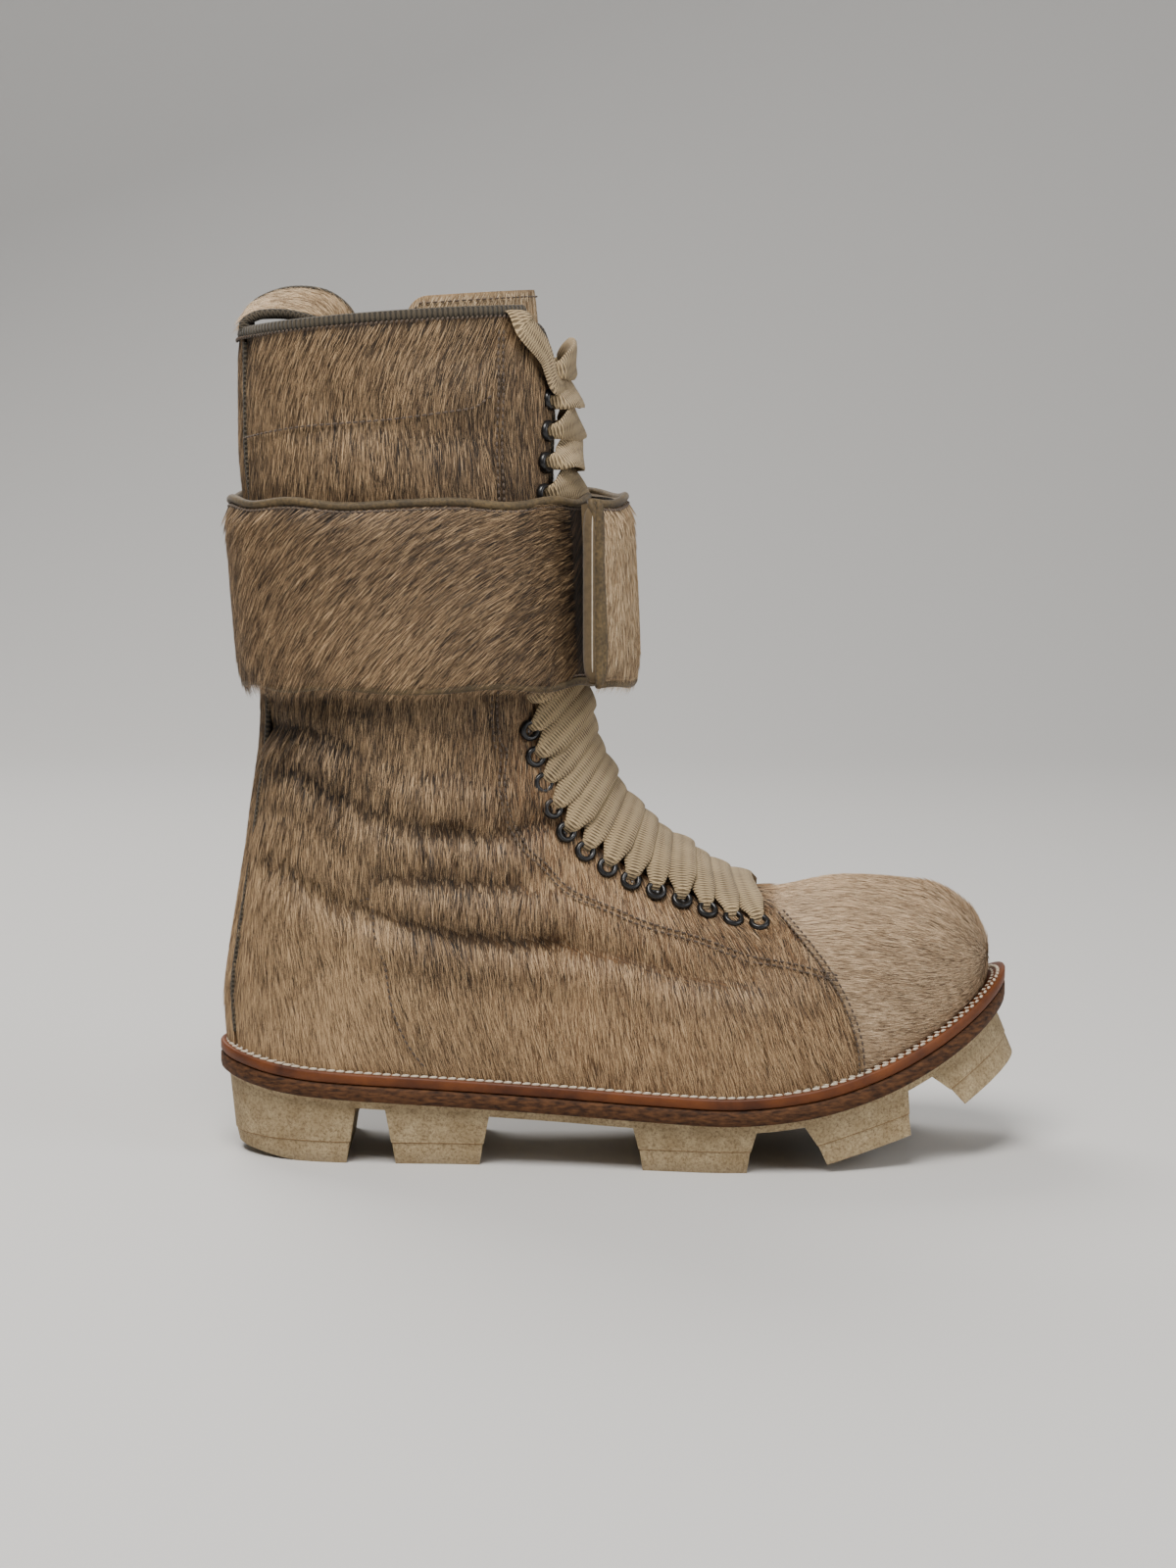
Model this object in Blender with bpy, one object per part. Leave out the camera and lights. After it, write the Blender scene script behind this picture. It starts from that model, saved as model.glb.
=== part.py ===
"""Lug sole boot: a high lace-up boot in haired hide on a welted sole with deep rubber lugs.

Right shoe, standing on level ground. +X points to the toe, +Y to the inner (medial) side, +Z up.
The origin is on the ground under the heel lug's flat. Lengths are metres.
"""
import math

import bmesh
import bpy
import numpy as np

# Overall sizes of the last and the sole
SOLE_LENGTH = 0.308
BALL_WIDTH = 0.1145
INSTEP_HEIGHT = 0.185
COLLAR_HEIGHT = 0.3225
SHAFT_DEPTH = 0.118
SHAFT_WIDTH = 0.090
SHAFT_AXIS = 0.074
HEEL_TO_ORIGIN = 0.038

# Sole stack
LUG_HEIGHT = 0.019
HEEL_LIFT = 0.0095
HEEL_RISE = 0.004
TOE_SPRING = 0.039
MIDSOLE_THICKNESS = 0.0063
WELT_THICKNESS = 0.0042
WELT_WIDTH = 0.016
INSOLE_THICKNESS = 0.003
OUTSOLE_BASE = 0.003
OUTSOLE_INSET = 0.0035
EDGE_ROUND = 0.0012

# Upper
GAP = 0.0003
WALL = 0.0032
FEATHER_INSET = 0.005
TOE_MARGIN = 0.0025
CAP_RECESS = 0.0019
CAP_THICKNESS = 0.0012
BACKSTAY_WIDTH = 0.022
BACKSTAY_THICKNESS = 0.0017
BINDING_HEIGHT = 0.003
BINDING_LIP = 0.0008
BINDING_STEPS = 37
BACKSTAY_COVER_TURN = 0.08
COLLAR_CROWN = 0.0035
TONGUE_THICKNESS = 0.0025
TONGUE_CLEARANCE = 0.0013
TONGUE_RISE = 0.011
TONGUE_HALF_WIDTH = 0.078
TONGUE_CORNER = 0.009

# Lacing
THROAT_HALF_GAP = 0.036
THROAT_TOP_HALF_GAP = 0.0085
THROAT_CORNER = 0.009
EYELET_MARGIN = 0.0055
EYELET_COUNT = 25
EYELETS_BELOW_STRAP = 13
EYELETS_ABOVE_STRAP = 5
EYELET_TO_STRAP = 0.018
LEG_PITCH = 0.012
EYELET_RADIUS = 0.0042
EYELET_BORE = 0.0024
EYELET_THICKNESS = 0.0014
EYELET_SEAT = 0.0006
LACE_THICKNESS = 0.0018
LACE_RIDGE = 0.0007
LACE_END_GAP = 0.08
LACE_SCALLOP = 0.05
LACE_BOW = 0.3

# Strap
STRAP_HEIGHT = 0.069
STRAP_EDGE = 0.0038
STRAP_PAD = 0.0035
STRAP_LAP = 0.0068
STRAP_BULGE = 0.0073
STRAP_SLACK = 0.0003
STRAP_FRONT_CLEARANCE = (0.0041, 0.0054)
STRAP_BACK_CLEARANCE = (0.0033, 0.0027)
STRAP_BOTTOM = INSTEP_HEIGHT

# Pull loop
LOOP_WIDTH = 0.024
LOOP_THICKNESS = 0.0024
LOOP_REACH = 0.038
LOOP_RISE = 0.0125
LOOP_STATIONS = 37

HEEL_BACK = -HEEL_TO_ORIGIN
CUTTERS = "cutters"


def collection(name):
    made = bpy.data.collections.new(name)
    bpy.context.scene.collection.children.link(made)
    return made


def clear_scene():
    for found in list(bpy.data.objects):
        bpy.data.objects.remove(found)


clear_scene()
BOOT = collection("lug_sole_boot")
CUT = collection(CUTTERS)


def material(name, colour, roughness, metallic=0.0):
    made = bpy.data.materials.new(name)
    made.use_nodes = True
    shader = made.node_tree.nodes["Principled BSDF"]
    shader.inputs["Base Color"].default_value = (*colour, 1.0)
    shader.inputs["Roughness"].default_value = roughness
    shader.inputs["Metallic"].default_value = metallic
    return made


HAIR_HIDE = material("hair_hide", (0.42, 0.31, 0.21), 0.75)
CAP_HIDE = material("cap_hide", (0.47, 0.37, 0.27), 0.72)
BINDING_TAPE = material("binding_tape", (0.12, 0.10, 0.06), 0.85)
WELT_LEATHER = material("welt_leather", (0.28, 0.10, 0.035), 0.45)
MIDSOLE_LEATHER = material("midsole_leather", (0.11, 0.06, 0.03), 0.8)
GUM_RUBBER = material("gum_rubber", (0.56, 0.45, 0.27), 0.85)
LINING = material("lining", (0.30, 0.21, 0.13), 0.7)
LACE_COTTON = material("lace_cotton", (0.55, 0.48, 0.36), 0.9)
BLACK_METAL = material("black_metal", (0.01, 0.01, 0.012), 0.25, 1.0)


def smooth_curve(knots, values, at):
    """Smooth curve through the knots that never passes beyond two neighbouring values."""
    knots = np.asarray(knots, float)
    values = np.asarray(values, float)
    at = np.clip(at, knots[0], knots[-1])
    steps = np.diff(knots)
    rise = np.diff(values) / steps
    slope = np.zeros(len(knots))
    before, after = rise[:-1], rise[1:]
    same_way = before * after > 0
    mean = 2 * before * after / np.where(same_way, before + after, 1.0)
    slope[1:-1] = np.where(same_way, mean, 0.0)
    slope[0], slope[-1] = rise[0], rise[-1]
    low = np.clip(np.searchsorted(knots, at, side="right") - 1, 0, len(knots) - 2)
    step = steps[low]
    t = (at - knots[low]) / step
    return (
        (2 * t**3 - 3 * t**2 + 1) * values[low]
        + (t**3 - 2 * t**2 + t) * step * slope[low]
        + (3 * t**2 - 2 * t**3) * values[low + 1]
        + (t**3 - t**2) * step * slope[low + 1]
    )


# The sole's outline, from the heel's back to the toe's tip:
# station (share of length), outer side and inner side (shares of ball width, from the heel's centre line)
OUTLINE = np.array([
    (0.000, 0.000, 0.000),
    (0.030, -0.192, 0.192),
    (0.080, -0.288, 0.288),
    (0.160, -0.345, 0.336),
    (0.300, -0.367, 0.323),
    (0.420, -0.402, 0.319),
    (0.540, -0.463, 0.367),
    (0.640, -0.502, 0.437),
    (0.740, -0.498, 0.485),
    (0.820, -0.450, 0.489),
    (0.890, -0.362, 0.454),
    (0.950, -0.236, 0.376),
    (0.985, -0.096, 0.253),
    (1.000, 0.087, 0.087),
])
OUTER_INDEX, INNER_INDEX = 1, 2
OUTLINE_POINTS = 361


def outline_side(column, inset):
    """One side of the outline, heel to toe, moved inwards by inset (a number or a function of x)."""
    turn = np.arccos(1 - 2 * OUTLINE[:, 0])
    at = np.linspace(0, math.pi, OUTLINE_POINTS)
    x = SOLE_LENGTH * (1 - np.cos(at)) / 2
    y = BALL_WIDTH * smooth_curve(turn, OUTLINE[:, column], at)
    run = np.stack([np.gradient(x), np.gradient(y)], 1)
    run[0] = (0, run[1][1])
    run[-1] = (0, run[-2][1])
    run /= np.linalg.norm(run, axis=1)[:, None]
    inwards = 1.0 if column == OUTER_INDEX else -1.0
    depth = inset(x) if callable(inset) else inset
    x = x - inwards * run[:, 1] * depth
    y = y + inwards * run[:, 0] * depth
    return x, y


def feather_inset(x):
    """How far the upper's lower edge stands in from the sole's edge: more round the toe."""
    return FEATHER_INSET + TOE_MARGIN * np.clip((x / SOLE_LENGTH - 0.7) / 0.3, 0, 1)


TREAD_POINT = 0.636 * SOLE_LENGTH
HEEL_ROUND_END = 0.13 * SOLE_LENGTH


def underside(x):
    """Height of the midsole's underside: heel lift, flat tread, then an arc up to the toe."""
    x = np.asarray(x, float)
    reach = SOLE_LENGTH - TREAD_POINT
    radius = (reach**2 + TOE_SPRING**2) / (2 * TOE_SPRING)
    ahead = np.clip(x - TREAD_POINT, 0, reach)
    lift = HEEL_LIFT * np.clip(1 - x / TREAD_POINT, 0, 1) ** 1.2
    rise = HEEL_RISE * np.clip(1 - x / HEEL_ROUND_END, 0, 1) ** 2
    return LUG_HEIGHT + lift + rise + radius - np.sqrt(radius**2 - ahead**2)


def steepness(x):
    """Slope of the sole's run, in radians."""
    step = 0.001
    return np.arctan((underside(x + step) - underside(x - step)) / (2 * step))


def layer(height):
    """A surface of the sole's stack, this far above the midsole's underside along its normal."""
    return lambda x: underside(x) + height / np.cos(steepness(np.minimum(x, 0.97 * SOLE_LENGTH)))


MIDSOLE_TOP = MIDSOLE_THICKNESS
WELT_BOTTOM = MIDSOLE_TOP + GAP
WELT_TOP = WELT_BOTTOM + WELT_THICKNESS
UPPER_FOOT = WELT_TOP + GAP

# Sections of the last below the ankle, toe to heel. Each lies in the plane through its top and bottom points.
# top: share of the way from the ankle's front to the toe; bottom: share of SOLE_LENGTH;
# level: share of INSTEP_HEIGHT; crest: share of BALL_WIDTH;
# widest half width = swell x half width at the welt + spread x BALL_WIDTH, at the share "at" of the way up
FOOT_SECTIONS = np.array([
    # top,  level, bottom, crest, swell, spread, at, dome
    (0.9560, 0.370, 0.9757, 0.087, 1.02, 0.000, 0.45, 2.3),
    (0.9620, 0.410, 0.9745, 0.086, 1.02, 0.000, 0.42, 2.3),
    (0.9366, 0.482, 0.9570, 0.080, 1.03, 0.000, 0.38, 2.4),
    (0.8297, 0.555, 0.8990, 0.060, 1.04, 0.000, 0.34, 2.4),
    (0.6359, 0.573, 0.7950, 0.036, 1.04, 0.000, 0.32, 2.3),
    (0.4348, 0.550, 0.6820, 0.020, 1.04, 0.000, 0.31, 2.1),
    (0.2591, 0.622, 0.5450, 0.014, 0.90, 0.061, 0.32, 2.0),
    (0.1178, 0.730, 0.3830, 0.010, 0.60, 0.162, 0.36, 2.0),
    (0.0399, 0.857, 0.2010, 0.006, 0.30, 0.253, 0.42, 2.1),
    (0.0091, 0.984, 0.0650, 0.003, 0.10, 0.314, 0.48, 2.2),
    (0.0000, 1.060, 0.0179, 0.000, 0.00, 0.335, 0.50, 2.3),
])
# Sections from the heel's back to above the collar.
# front and back, and ANKLE_FRONT: shares of SHAFT_DEPTH from the shaft's axis; level: 1 at the instep and 2 at the collar; half: share of SHAFT_WIDTH
LEG_SECTIONS = np.array([
    # front, level, back,  level, half,  at,   dome
    (0.535, 1.150, -0.592, 0.335, 0.433, 0.50, 2.3),
    (0.525, 1.270, -0.508, 0.692, 0.446, 0.50, 2.3),
    (0.520, 1.379, -0.464, 0.941, 0.458, 0.50, 2.3),
    (0.508, 1.546, -0.490, 1.312, 0.476, 0.50, 2.3),
    (0.490, 1.773, -0.525, 1.674, 0.489, 0.50, 2.3),
    (0.466, 2.000, -0.522, 1.940, 0.500, 0.50, 2.3),
    (0.452, 2.180, -0.514, 2.130, 0.505, 0.50, 2.3),
])
HEEL_SECTION = len(FOOT_SECTIONS) - 1
COLLAR_SECTION = HEEL_SECTION + 6
LAST_SECTION = HEEL_SECTION + len(LEG_SECTIONS)
HEEL_ROUND = 2.2
ANKLE_FRONT = 0.5422


def level_height(level):
    """Levels 0 to 1 run from the ground to the instep, and 1 to 2 on to the collar."""
    shaft = COLLAR_HEIGHT - INSTEP_HEIGHT
    return np.where(level < 1, level * INSTEP_HEIGHT, INSTEP_HEIGHT + (level - 1) * shaft)


class Last:
    """The outer form of the upper: a point for each section number s and each turn a.

    a is 0 along the top and front, and -1 (outer side) and 1 (inner side) at the welt or the back seam.
    It is proportional to the distance round the section.
    """

    ROWS_PER_SECTION = 14
    TURNS = 96

    def __init__(self):
        self.s = np.linspace(0, LAST_SECTION, LAST_SECTION * self.ROWS_PER_SECTION + 1)
        self.a = np.linspace(-1, 1, 2 * self.TURNS + 1)
        self.read_tables()
        rows = [self.section(i) for i in range(len(self.s))]
        self.points = np.array([row[0] for row in rows])
        self.points[0] = self.points[0, self.TURNS]
        self.girth = np.array([row[1] for row in rows])
        self.normals = self.find_normals()

    def read_tables(self):
        foot = np.arange(len(FOOT_SECTIONS))
        leg = np.arange(HEEL_SECTION + 1, LAST_SECTION + 1)
        numbers = np.concatenate([foot, leg])
        length, ball = SOLE_LENGTH, BALL_WIDTH
        front = SHAFT_AXIS + SHAFT_DEPTH * LEG_SECTIONS[:, 0]
        back = SHAFT_AXIS + SHAFT_DEPTH * LEG_SECTIONS[:, 2]

        def column(below, above):
            return smooth_curve(numbers, np.concatenate([below, above]), self.s)

        none = np.zeros(len(leg))
        self.crest = column(ball * FOOT_SECTIONS[:, 3], none)
        self.swell = column(FOOT_SECTIONS[:, 4], none)
        self.spread = column(ball * FOOT_SECTIONS[:, 5], SHAFT_WIDTH * LEG_SECTIONS[:, 4])
        self.wide_at = column(FOOT_SECTIONS[:, 6], LEG_SECTIONS[:, 5])
        self.dome = column(FOOT_SECTIONS[:, 7], LEG_SECTIONS[:, 6])
        outer_x, outer_y = outline_side(OUTER_INDEX, feather_inset)
        inner_x, inner_y = outline_side(INNER_INDEX, feather_inset)
        heel, toe = outer_x[0], outer_x[-1]
        ankle = SHAFT_AXIS + SHAFT_DEPTH * ANKLE_FRONT
        foot_top = ankle + (length - ankle) * FOOT_SECTIONS[:, 0]
        foot_level = level_height(FOOT_SECTIONS[:, 1])
        foot_top[0], foot_level[0] = toe, float(layer(UPPER_FOOT)(toe))
        self.top_x = column(foot_top, front)
        self.top_z = column(foot_level, level_height(LEG_SECTIONS[:, 1]))
        along = smooth_curve(foot, length * FOOT_SECTIONS[:, 2], self.s)
        first, last = length * FOOT_SECTIONS[-1, 2], length * FOOT_SECTIONS[0, 2]
        along = heel + (along - first) * (toe - heel) / (last - first)
        along = np.clip(along, heel, toe)
        below = self.s <= HEEL_SECTION
        back_numbers = np.arange(HEEL_SECTION, LAST_SECTION + 1)
        foot_height = float(layer(UPPER_FOOT)(heel))
        back_x = smooth_curve(back_numbers, np.concatenate([[heel], back]), self.s)
        heights = np.concatenate([[foot_height], level_height(LEG_SECTIONS[:, 3])])
        back_z = smooth_curve(back_numbers, heights, self.s)
        self.bottom_x = np.where(below, along, back_x)
        self.bottom_z = np.where(below, layer(UPPER_FOOT)(along), back_z)
        near = np.where(below, np.interp(along, outer_x, outer_y), 0.0)
        far = np.where(below, np.interp(along, inner_x, inner_y), 0.0)
        self.bottom_y = (near + far) / 2
        self.half_foot = np.maximum((far - near) / 2, 0.0)
        self.crest[0] = self.bottom_y[0]

    def section(self, i):
        """Both halves of one section, with points evenly spaced, and the length of one half."""
        turn = np.linspace(0, math.pi / 2, 60)
        foot, wide = self.half_foot[i], self.swell[i] * self.half_foot[i] + self.spread[i]
        wide = max(wide, foot * 1.001)
        low_c = self.wide_at[i] * (1 - np.cos(turn))
        low_w = np.sqrt(foot**2 + (wide**2 - foot**2) * (1 - np.cos(turn) ** HEEL_ROUND))
        high_c = self.wide_at[i] + (1 - self.wide_at[i]) * np.sin(turn) ** (2 / self.dome[i])
        high_w = wide * np.cos(turn) ** (2 / self.dome[i])
        c = np.concatenate([low_c, high_c[1:]])
        w = np.concatenate([low_w, high_w[1:]])
        w[-1] = 0.0
        x = self.bottom_x[i] + c * (self.top_x[i] - self.bottom_x[i])
        z = self.bottom_z[i] + c * (self.top_z[i] - self.bottom_z[i])
        middle = self.bottom_y[i] + c * (self.crest[i] - self.bottom_y[i])
        halves = []
        for side in (-1, 1):
            half = np.stack([x, middle + side * w, z], 1)
            run = np.concatenate([[0], np.cumsum(np.linalg.norm(np.diff(half, axis=0), axis=1))])
            at = np.linspace(0, run[-1], self.TURNS + 1)
            halves.append((np.stack([np.interp(at, run, half[:, k]) for k in range(3)], 1), run[-1]))
        near, far = halves
        loop = np.concatenate([near[0], far[0][::-1][1:]])
        loop[:, 0] += HEEL_BACK
        return loop, (near[1] + far[1]) / 2

    def find_normals(self):
        along = np.gradient(self.points, axis=0)
        round_it = np.gradient(self.points, axis=1)
        closed = self.s >= HEEL_SECTION
        across = self.points[:, 1] - self.points[:, -2]
        for end in (0, -1):
            round_it[closed, end] = across[closed]
            along[closed, end] = (along[closed, 0] + along[closed, -1]) / 2
        normal = np.cross(round_it, along)
        size = np.linalg.norm(normal, axis=2, keepdims=True)
        normal = np.where(size > 1e-12, normal / np.maximum(size, 1e-12), 0.0)
        normal[0] = (1.0, 0.0, 0.0)
        return normal

    def at(self, s, a, offset=0.0):
        """Points of the form at sections s and turns a, moved out by offset."""
        s, a = np.broadcast_arrays(np.asarray(s, float), np.asarray(a, float))
        row = np.clip(s, 0, LAST_SECTION) * self.ROWS_PER_SECTION
        col = (np.clip(a, -1, 1) + 1) * self.TURNS
        i = np.minimum(row.astype(int), len(self.s) - 2)
        j = np.minimum(col.astype(int), len(self.a) - 2)
        u, v = (row - i)[..., None], (col - j)[..., None]

        def blend(grid):
            low = grid[i, j] * (1 - v) + grid[i, j + 1] * v
            high = grid[i + 1, j] * (1 - v) + grid[i + 1, j + 1] * v
            return low * (1 - u) + high * u

        normal = blend(self.normals)
        normal /= np.maximum(np.linalg.norm(normal, axis=-1, keepdims=True), 1e-9)
        return blend(self.points) + normal * np.asarray(offset, float)[..., None]

    def half_girth(self, s):
        return np.maximum(np.interp(s, self.s, self.girth), 1e-6)

    def section_at_height(self, z, a):
        """The section number whose point at turn a is at height z, on the leg."""
        rows = self.s >= HEEL_SECTION - 2
        column = int(round((a + 1) * self.TURNS))
        return float(np.interp(z, self.points[rows, column, 2], self.s[rows]))


LAST = Last()


def mesh_object(name, points, faces, finish, where=None):
    """A named object from points and faces: doubles merged, faces turned out, shaded smooth."""
    mesh = bpy.data.meshes.new(name)
    mesh.from_pydata([tuple(p) for p in points], [], faces)
    work = bmesh.new()
    work.from_mesh(mesh)
    bmesh.ops.remove_doubles(work, verts=work.verts, dist=1e-6)
    bmesh.ops.dissolve_degenerate(work, dist=1e-7, edges=work.edges)
    bmesh.ops.recalc_face_normals(work, faces=work.faces)
    work.to_mesh(mesh)
    work.free()
    mesh.shade_smooth()
    mesh.set_sharp_from_angle(angle=math.radians(35))
    made = bpy.data.objects.new(name, mesh)
    made.data.materials.append(finish)
    (where or BOOT).objects.link(made)
    return made


def grid_faces(rows, columns, start=0):
    """Triangles over a grid of points, all split the same way, so that two layers over one grid stay parallel."""
    faces = []
    for i in range(rows - 1):
        for j in range(columns - 1):
            low, high = start + i * columns + j, start + (i + 1) * columns + j
            faces += [(low, low + 1, high + 1), (low, high + 1, high)]
    return faces


def shell(name, blocks, finish, foot_on_welt=False):
    """A closed wall from blocks of matching outer and inner point grids, with a rim along every open edge."""
    outer, inner, faces = [], [], []
    for out_grid, in_grid in blocks:
        rows, columns = out_grid.shape[:2]
        faces += grid_faces(rows, columns, len(outer))
        outer += list(out_grid.reshape(-1, 3))
        inner += list(in_grid.reshape(-1, 3))
    outer, inner = np.array(outer), np.array(inner)
    keys = np.round(np.concatenate([outer, inner], 1), 6)
    _, first, index = np.unique(keys, axis=0, return_index=True, return_inverse=True)
    index = index.reshape(-1)
    outer, inner = outer[first], inner[first]
    count = len(outer)
    quads = []
    uses = {}
    for face in faces:
        ring = [index[k] for k in face]
        ring = [k for n, k in enumerate(ring) if k != ring[n - 1]]
        if len(ring) < 3:
            continue
        quads.append(tuple(ring))
        for n, k in enumerate(ring):
            uses.setdefault(frozenset((ring[n - 1], k)), []).append((ring[n - 1], k))
    rims = [edge[0] for edge in uses.values() if len(edge) == 1]
    if foot_on_welt:
        stand_on_welt(outer, inner, rims)
    backs = [tuple(k + count for k in reversed(ring)) for ring in quads]
    walls = [(b, a, a + count, b + count) for a, b in rims]
    return mesh_object(name, np.concatenate([outer, inner]), quads + backs + walls, finish)


FOOT_REACH = 0.003


def stand_on_welt(outer, inner, rims):
    """Brings the wall's lower edge down to the welt, all round."""
    top = layer(UPPER_FOOT)
    for k in {k for edge in rims for k in edge}:
        foot = float(top(outer[k][0] - HEEL_BACK))
        if abs(outer[k][2] - foot) < FOOT_REACH:
            for side in (outer, inner):
                side[k][2] = float(top(side[k][0] - HEEL_BACK))


def on_form(s, a, outer, inner):
    """One block of a shell on the last, between two offsets."""
    shape = np.broadcast_shapes(s.shape, a.shape)
    outer = np.broadcast_to(outer, shape)
    inner = np.broadcast_to(inner, shape)
    return LAST.at(s, a, outer), LAST.at(s, a, inner)


# The cap seam's section number on top of the foot and at the welt
CAP_SEAM_TOP = 5.03
CAP_SEAM_FOOT = 3.92
BLEND_END = 7.0
SEAM_STEP = 0.012


def cap_seam(a):
    return CAP_SEAM_TOP - (CAP_SEAM_TOP - CAP_SEAM_FOOT) * np.sin(math.pi / 2 * np.abs(a)) ** 2


def follow_seam(s, a):
    """Bends the section lines so that the line at CAP_SEAM_TOP runs along the cap seam."""
    seam = cap_seam(a)
    before = s * seam / CAP_SEAM_TOP
    share = (s - CAP_SEAM_TOP) / (BLEND_END - CAP_SEAM_TOP)
    after = seam + share * (BLEND_END - seam)
    return np.where(s <= CAP_SEAM_TOP, before, np.where(s < BLEND_END, after, s))


def follow_collar(s, a):
    """Lifts the collar's line between the back seam and the throat, as its edge is cut."""
    step = LAST.section_at_height(COLLAR_HEIGHT, 0.0) - LAST.section_at_height(COLLAR_HEIGHT - COLLAR_CROWN, 0.0)
    share = np.clip((s - HEEL_SECTION - 4) / (COLLAR_SECTION - HEEL_SECTION - 4), 0, 1)
    return s + step * share * np.sin(math.pi * np.abs(a)) ** 0.7


# Half width of the lacing gap, measured round the form from its middle line: section number, share of the way
# from THROAT_TOP_HALF_GAP to THROAT_HALF_GAP
THROAT_END = 5.16
THROAT_ROUND = 0.32
WIDEST_TURN = 0.3
THROAT_WIDTHS = np.array([
    # section, share
    (5.00, 0.73),
    (6.00, 0.74),
    (7.00, 0.89),
    (7.70, 1.00),
    (9.40, 1.00),
    (11.00, 0.82),
    (14.00, 0.42),
    (14.70, 0.26),
    (15.20, 0.12),
    (15.50, 0.10),
    (15.80, 0.32),
    (16.00, 0.75),
    (18.00, 0.75),
])


def lacing_half_gap(s):
    share = smooth_curve(THROAT_WIDTHS[:, 0], THROAT_WIDTHS[:, 1], s)
    return THROAT_TOP_HALF_GAP + share * (THROAT_HALF_GAP - THROAT_TOP_HALF_GAP)


def throat_turn(s):
    """The turn a at the throat's edge, with rounded corners at its lower end."""
    open_share = np.clip((s - THROAT_END) / THROAT_ROUND, 0, 1)
    corner = THROAT_CORNER * (1 - np.sqrt(1 - (1 - open_share) ** 2))
    return np.minimum((lacing_half_gap(s) - corner) / LAST.half_girth(s), WIDEST_TURN)


CAP_ROWS = [0, 0.4, 0.8, 1.2, 1.7, 2.2, 2.8, 3.4, 4.0, 4.6]
VAMP_ROWS = [THROAT_END, 5.2, 5.3, THROAT_END + THROAT_ROUND, 5.8, 6.1, 6.4, 6.7, 7, 7.4, 7.8, 8.2, 8.7, 9.3]
LEG_ROWS = [10, 10.4, 10.9, 11.5, 12.2, 13, 14, 14.7, 15.2, 15.5, 15.7, 15.85, COLLAR_SECTION]
SIDE_STEPS = 8
BRIDGE_STEPS = 4


def make_upper():
    """Each side runs from the throat's edge to the welt or the back seam, and a bridge joins them at the vamp."""
    seam = CAP_SEAM_TOP
    rows = CAP_ROWS + [seam - SEAM_STEP, seam + SEAM_STEP] + VAMP_ROWS + LEG_ROWS
    s = np.array(rows)[:, None]
    share = np.linspace(0, 1, SIDE_STEPS + 1)[None, :]
    blocks = []
    for side in (-1, 1):
        a = side * (1 - share * (1 - throat_turn(s)))
        blocks.append((s, a))
    bridge = s[: rows.index(THROAT_END) + 1]
    across = np.linspace(-1, 1, BRIDGE_STEPS + 1)[None, :]
    blocks.append((bridge, across * throat_turn(bridge)))
    made = []
    for s, a in blocks:
        offset = np.where(s < seam, -CAP_RECESS, 0.0)
        made.append(on_form(follow_collar(follow_seam(s, a), a), a, offset, -WALL))
    return shell("upper", made, HAIR_HIDE, foot_on_welt=True)


def make_toe_cap():
    s = np.array(CAP_ROWS + [CAP_SEAM_TOP - 2.5 * SEAM_STEP])[:, None]
    outer = -CAP_RECESS + GAP + CAP_THICKNESS
    share = np.linspace(0, 1, SIDE_STEPS + 1)[None, :]
    across = np.linspace(-1, 1, BRIDGE_STEPS + 1)[None, :]
    turns = [side * (1 - share * (1 - throat_turn(s))) for side in (-1, 1)] + [across * throat_turn(s)]
    blocks = [on_form(follow_seam(s, a), a, outer, -CAP_RECESS + GAP) for a in turns]
    shell("toe_cap", blocks, CAP_HIDE, foot_on_welt=True)


def make_backstay():
    s = np.array(LEG_ROWS)[:, None]
    across = np.linspace(-1, 1, 5)[None, :]
    edge = BACKSTAY_WIDTH / 2 / LAST.half_girth(s)
    a = np.where(across < 0, -1 + edge * -across, 1 - edge * across)
    middle = np.abs(across) < 1e-6
    a = np.where(middle, 1.0, a)
    collar = follow_collar(s, a)
    block = on_form(collar, a, GAP + BACKSTAY_THICKNESS, GAP)
    shell("backstay", [block], HAIR_HIDE, foot_on_welt=True)


def above_collar(height):
    """The section number this high above the upper's top edge, at the back seam."""
    rise = LAST.at(COLLAR_SECTION + 1, 1.0)[2] - LAST.at(COLLAR_SECTION, 1.0)[2]
    return COLLAR_SECTION + height / rise


def make_collar_binding():
    low = above_collar(1.3 * GAP)
    high = above_collar(1.3 * GAP + BINDING_HEIGHT)
    turn = float(throat_turn(COLLAR_SECTION))
    around = np.linspace(turn, 2 - turn, BINDING_STEPS)
    a = np.where(around <= 1, around, around - 2)[:, None]
    s = np.array([low, high])[None, :]
    backstay_edge = 1 - BACKSTAY_WIDTH / 2 / LAST.half_girth(COLLAR_SECTION)
    near_back = np.clip((np.abs(a) - backstay_edge) / BACKSTAY_COVER_TURN + 1, 0, 1)
    outer = BINDING_LIP + near_back * (BACKSTAY_THICKNESS + GAP)
    block = on_form(follow_collar(s, a), a, outer, -WALL - BINDING_LIP / 2)
    shell("collar_binding", [block], BINDING_TAPE)


TONGUE_START = 4.7
TONGUE_COLUMNS = 9
TONGUE_LEG_ROWS = 9
# The tongue's half width at each section, as a share of TONGUE_HALF_WIDTH
TONGUE_WIDTHS = np.array([
    # section, share
    (4.70, 0.46),
    (7.00, 0.58),
    (9.50, 0.62),
    (12.00, 0.75),
    (15.00, 1.00),
    (18.00, 1.00),
])


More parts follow.
